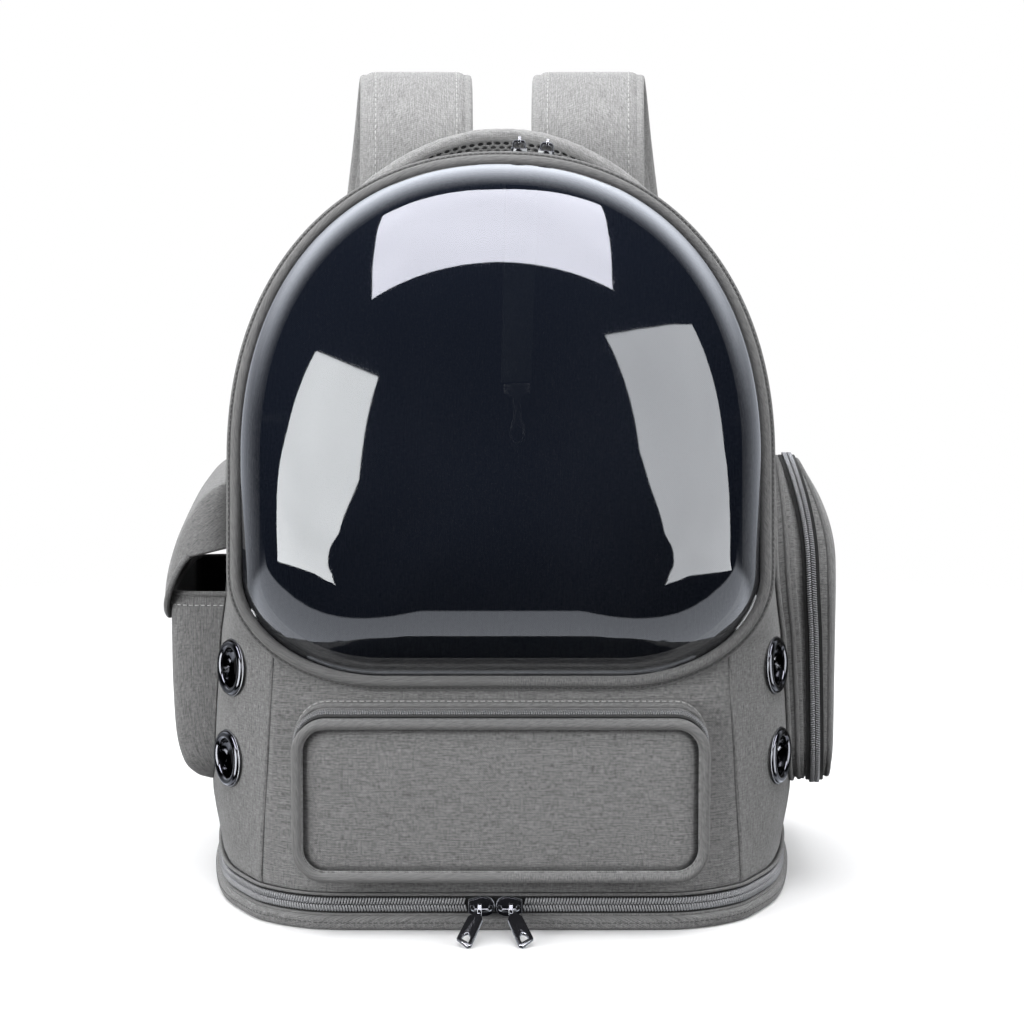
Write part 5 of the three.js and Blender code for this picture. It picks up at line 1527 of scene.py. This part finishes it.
def strap_trims(side):
    """The bindings along both edges of a strap, and the stitches along the bindings and the pad."""
    name = side_name(side)
    shares = [i / 120 for i in range(121)]

    def line(a, o):
        return [on_side(side, strap_spot(k, a(k), o)) for k in shares]

    outs = [q - p for p, q in zip(line(lambda k: 0, 0), line(lambda k: 0, 1))]
    section = [(a, o - 2.7) for a, o in slab(7.2, 5.4, 2.2)]
    for n, edge in (("inner", -1), ("outer", 1)):
        path = line(lambda k: edge * (strap_half(k) - 2.4), 0)
        swept(f"strap_{name}_{n}_binding", path, outs, section, [STRAP_BINDING])
        for m, inset in (("edge", 4.4), ("pad", 8.4)):
            for face in (-1, 1):
                high = 2.75 if m == "edge" else STRAP_THICK / 2 - 0.15
                seam = line(lambda k: edge * (strap_half(k) - inset), face * high)
                stitches(f"strap_{name}_{n}_{m}_{'face' if face > 0 else 'back'}_stitches", seam,
                         [o * face for o in outs], pitch=3.6)


def strap_webbing(side):
    """The webbing from a strap's adjuster to the foot of the back panel."""
    start = STRAP_WEB_START
    foot_z = SHELL_BOTTOM + 20
    foot = vec(HALF_WIDTH * 0.73, back_y(foot_z) + BACK_THICK + 2 * GAP, foot_z)
    way = STRAP.way(1)
    a, b, c = start + way * WEB_THICK, start + way * 30, vec(foot.x - 5, foot.y + 1, foot.z + 42)
    path = [start]
    for i in range(61):
        k = i / 60
        path.append(a * (1 - k) ** 3 + b * (3 * k * (1 - k) ** 2) + c * (3 * k * k * (1 - k)) + foot * k ** 3)
    path = [on_side(side, p) for p in path]
    swept(f"webbing_{side_name(side)}", path, [vec(0, 1, 0)] * len(path), slab(WEB_WIDE, WEB_THICK, 0.5),
          [WEBBING], replaces=(f"strap_webbing_{side_name(side)}",))


def refined(name, node, materials, body, bevel):
    """A hard piece over its plain solid, with its edges eased; the eased edges have the last material."""
    bm = bmesh.new()
    bm.from_mesh(frame["nodes"][node].data)
    bmesh.ops.remove_doubles(bm, verts=bm.verts[:], dist=1e-6)
    bmesh.ops.dissolve_limit(bm, angle_limit=math.radians(2), verts=bm.verts[:], edges=bm.edges[:])
    sharp = [e for e in bm.edges if e.is_manifold and e.calc_face_angle(0) > math.radians(35)]
    eased_edges = bmesh.ops.bevel(bm, geom=sharp, offset=bevel * MM, affect="EDGES", segments=2, profile=0.5,
                                  material=-1, clamp_overlap=True)
    for face in eased_edges["faces"]:
        face.material_index = len(materials) - 1
    piece = finish_piece(name, bm, materials, (node,), body)
    piece.data.set_sharp_from_angle(angle=math.radians(50))
    return piece


def top_zipper():
    half = math.radians(42)
    count, reach = 90, 0.07
    path, outs = [], []
    for i in range(count + 1):
        turn = mix(half, math.pi - half, i / count)
        line = top_section(turn)
        p, along = line.even(reach), line.way(reach)
        side = top_section(turn - 0.02).even(reach) - p
        out = side.cross(along).normalized()
        out = out if out.z > 0 else -out
        path.append(p + out * 0.5)
        outs.append(out)
    swept("top_zipper_tape", path, outs, slab(11, 1.1, 0.4), [TAPE], replaces=("top_zipper",))
    coil("top_zipper_coil", raised(path, outs, 1.0), outs, 4.8, pitch=1.25, tall=1.3)


def tether():
    low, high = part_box("tether_strap")
    top = high.z * METRE
    bottom = low.z * METRE
    path, outs = [], []
    for i in range(41):
        k = i / 40
        path.append(vec(12 - 3 * k, 20 + 2 * math.sin(math.pi * k), mix(top, bottom, k)))
        turn = 0.5 * k
        outs.append(vec(-math.sin(turn), math.cos(turn), 0))
    swept("tether_webbing", path, outs, slab(19, 2.9, 0.8), [WEBBING], replaces=("tether_strap",))


top_zipper()
tether()
handle()
for SIDE in (-1, 1):
    shoulder_strap(SIDE)
    strap_trims(SIDE)
    strap_webbing(SIDE)
yoke()
for SIDE in ("left", "right"):
    refined(f"buckle_{SIDE}", f"strap_buckle_{SIDE}", [BLACK], "bag", 0.5)
    for PLACE in ("base", "top"):
        refined(f"{PLACE}_slider_{SIDE}_metal", f"{PLACE}_slider_{SIDE}", [GLOSS_BLACK, GUNMETAL],
                "bag", 0.4 if PLACE == "base" else 0.25)
        # The pulls' eased edges take the bright silver, a painted highlight.
        refined(f"{PLACE}_pull_{SIDE}_metal", f"{PLACE}_pull_{SIDE}", [GLOSS_BLACK, PAINTED_GLINT_EDGE],
                f"{PLACE}_tab_{SIDE}", 0.3 if PLACE == "base" else 0.2)
refined("zip_pocket_slider_metal", "zip_pocket_slider", [GUNMETAL], "bag", 0.4)
refined("tether_clip_plastic", "tether_clip", [BLACK], "bag", 0.4)

# Floor, world and lights
floor_bm = bmesh.new()
bmesh.ops.create_grid(floor_bm, x_segments=2, y_segments=2, size=6)
floor_mesh = bpy.data.meshes.new("floor")
floor_bm.to_mesh(floor_mesh)
floor_bm.free()
floor = bpy.data.objects.new("floor", floor_mesh)
bpy.context.scene.collection.objects.link(floor)
pale, pale_tree, pale_shader = plain_material("pale_floor", Base_Color=(0.9, 0.9, 0.9, 1), Roughness=0.8)
from_middle = add_node(pale_tree, "ShaderNodeVectorMath", {0: tex_coord(pale_tree)}, operation="LENGTH")
fade = ramp_node(pale_tree, from_middle.outputs["Value"], 0.35, 1.1, (1.0, 0.0), "SMOOTHSTEP")
pale_tree.links.new(fade, pale_shader.inputs["Alpha"])
floor_mesh.materials.append(pale)

floor.visible_glossy = floor.visible_diffuse = False

world = bpy.data.worlds.new("studio")
bpy.context.scene.world = world
world.use_nodes = True
sky = world.node_tree
backdrop = sky.nodes["Background"]
ray = add_node(sky, "ShaderNodeSeparateXYZ", {"Vector": tex_coord(sky, "Generated")})
ray_kind = add_node(sky, "ShaderNodeLightPath")


def sky_ramp(axis, dark, light):
    """From 0 to 1 along one axis of the ray's way."""
    return ramp_node(sky, ray.outputs[axis], dark, light, kind="SMOOTHSTEP")


# Gloss sees a bright wall behind the bag and a band of table below it, with a dark gap in the middle of the
# band's far part.
behind = math_node(sky, "MULTIPLY", sky_ramp(1, 0.2, 0.85), sky_ramp(2, -0.8, -0.5))
behind = math_node(sky, "MULTIPLY", behind, math_node(sky, "MULTIPLY_ADD", sky_ramp(2, 0.0, 0.5), 3.6, 0.8))
aside = math_node(sky, "ABSOLUTE", ray.outputs[0])
past = math_node(sky, "MULTIPLY_ADD", math_node(sky, "MULTIPLY", aside, aside), -0.53, ray.outputs[1])
table = ramp_node(sky, past, -0.21, -0.18, kind="SMOOTHSTEP")
strip = ramp_node(sky, aside, 0.38, 0.34, kind="SMOOTHSTEP")
strip = math_node(sky, "MULTIPLY", strip, sky_ramp(1, 0.225, 0.245))
table = math_node(sky, "MULTIPLY", table, math_node(sky, "SUBTRACT", 1.0, strip))
table = math_node(sky, "MULTIPLY", table, sky_ramp(2, -0.35, -0.5))
shine = math_node(sky, "MULTIPLY_ADD", table, 1.5, behind)
tint = color_mix(sky, shine, (0.006, 0.008, 0.012), (0.9, 0.95, 1.05), clamp_factor=False)
fill = color_mix(sky, sky_ramp(2, -0.3, 0.5), grey(0.06), grey(0.55))
seen = color_mix(sky, ray_kind.outputs["Is Glossy Ray"], fill, tint)
seen = color_mix(sky, ray_kind.outputs["Is Camera Ray"], seen, grey(1))
sky.links.new(seen, backdrop.inputs[0])
backdrop.inputs[1].default_value = 1.0


def soft_light(name, place, target, wide, tall, power):
    """A broad light for the cloth, which no gloss shows."""
    light = bpy.data.lights.new(name, "AREA")
    light.shape = "RECTANGLE"
    light.size, light.size_y, light.energy = wide, tall, power
    lamp = bpy.data.objects.new(name, light)
    bpy.context.scene.collection.objects.link(lamp)
    lamp.location = place
    lamp.rotation_euler = (Vector(target) - Vector(place)).to_track_quat("-Z", "Y").to_euler()
    lamp.visible_glossy = False


def light_card(name, corners, strength, color):
    """A studio light that only gloss shows, with its corners in metres."""
    bm = bmesh.new()
    bm.faces.new([bm.verts.new(c) for c in corners])
    mesh = bpy.data.meshes.new(name)
    bm.to_mesh(mesh)
    bm.free()
    card = bpy.data.objects.new(name, mesh)
    bpy.context.scene.collection.objects.link(card)
    material, tree, _ = plain_material(name)
    tone = color_mix(tree, noise_node(tree, tex_coord(tree), 1.6, 1.0), [c * 0.8 for c in color], color)
    glow = add_node(tree, "ShaderNodeEmission", {"Color": tone, "Strength": strength})
    tree.links.new(glow.outputs[0], tree.nodes["Material Output"].inputs["Surface"])
    mesh.materials.append(material)
    card.visible_camera = card.visible_diffuse = card.visible_shadow = card.visible_transmission = False


def card_corners(rays, distance):
    """Where rays (place, turn and rise in degrees) meet a plane at a distance along their mean way."""
    ways = []
    for _, turn, rise in rays:
        t, r = math.radians(turn), math.radians(rise)
        ways.append(Vector((math.sin(t) * math.cos(r), -math.cos(t) * math.cos(r), math.sin(r))))
    normal = sum(ways, Vector()).normalized()
    centre = Vector((0, -0.15, 0.28)) + normal * distance
    return [Vector(p) + w * ((centre - Vector(p)).dot(normal) / w.dot(normal)) for (p, _, _), w in zip(rays, ways)]


soft_light("high_light", (0, -0.5, 2.4), (0, 0, 0.2), 2.2, 1.6, 50)
soft_light("left_light", (-1.9, -1.5, 0.7), (0, 0, 0.15), 1.4, 1.4, 52)
soft_light("right_light", (1.9, -1.5, 0.7), (0, 0, 0.15), 1.4, 1.4, 26)
soft_light("back_light", (-0.9, 2.1, 1.1), (0, 0, 0.2), 1.6, 1.4, 32)
soft_light("back_right_light", (1.6, 1.5, 0.8), (0, 0, 0.2), 1.4, 1.2, 12)
light_card("top_card", card_corners([
    ((-0.060, -0.136, 0.385), -107.7, 60.1), ((-0.004, -0.135, 0.398), -169.9, 83.3),
    ((0.052, -0.134, 0.390), 117.1, 64.4), ((0.059, -0.159, 0.348), 24.7, 35.6),
    ((0.0, -0.158, 0.362), -0.6, 40.1), ((-0.066, -0.159, 0.344), -30.2, 34.0)], 1.3), 14.0, (0.93, 0.94, 1.05))
light_card("left_card", card_corners([
    ((-0.096, -0.159, 0.316), -51.4, 24.3), ((-0.063, -0.170, 0.304), -17.1, 17.9),
    ((-0.072, -0.178, 0.252), -21.6, 1.1), ((-0.086, -0.165, 0.195), -55.9, -48.3),
    ((-0.117, -0.154, 0.206), -88.8, -30.0), ((-0.116, -0.162, 0.249), -75.6, -7.1)], 1.3), 11.5, (0.97, 1.0, 1.02))
light_card("right_card", card_corners([
    ((0.054, -0.167, 0.325), 15.4, 23.8), ((0.099, -0.153, 0.330), 67.8, 29.6),
    ((0.117, -0.160, 0.265), 75.0, 2.4), ((0.122, -0.148, 0.200), 100.2, -31.6),
    ((0.086, -0.165, 0.195), 55.2, -48.5), ((0.072, -0.176, 0.267), 19.3, 9.6)], 1.3), 7.0, (0.97, 1.0, 1.04))

# The bubble mirrors the studio alone, so that the lit pocket under it leaves its foot clear.
for piece in bpy.context.scene.objects:
    if piece.name.startswith(("front_pocket", "base_", "tray", "frame_")):
        piece.visible_glossy = False
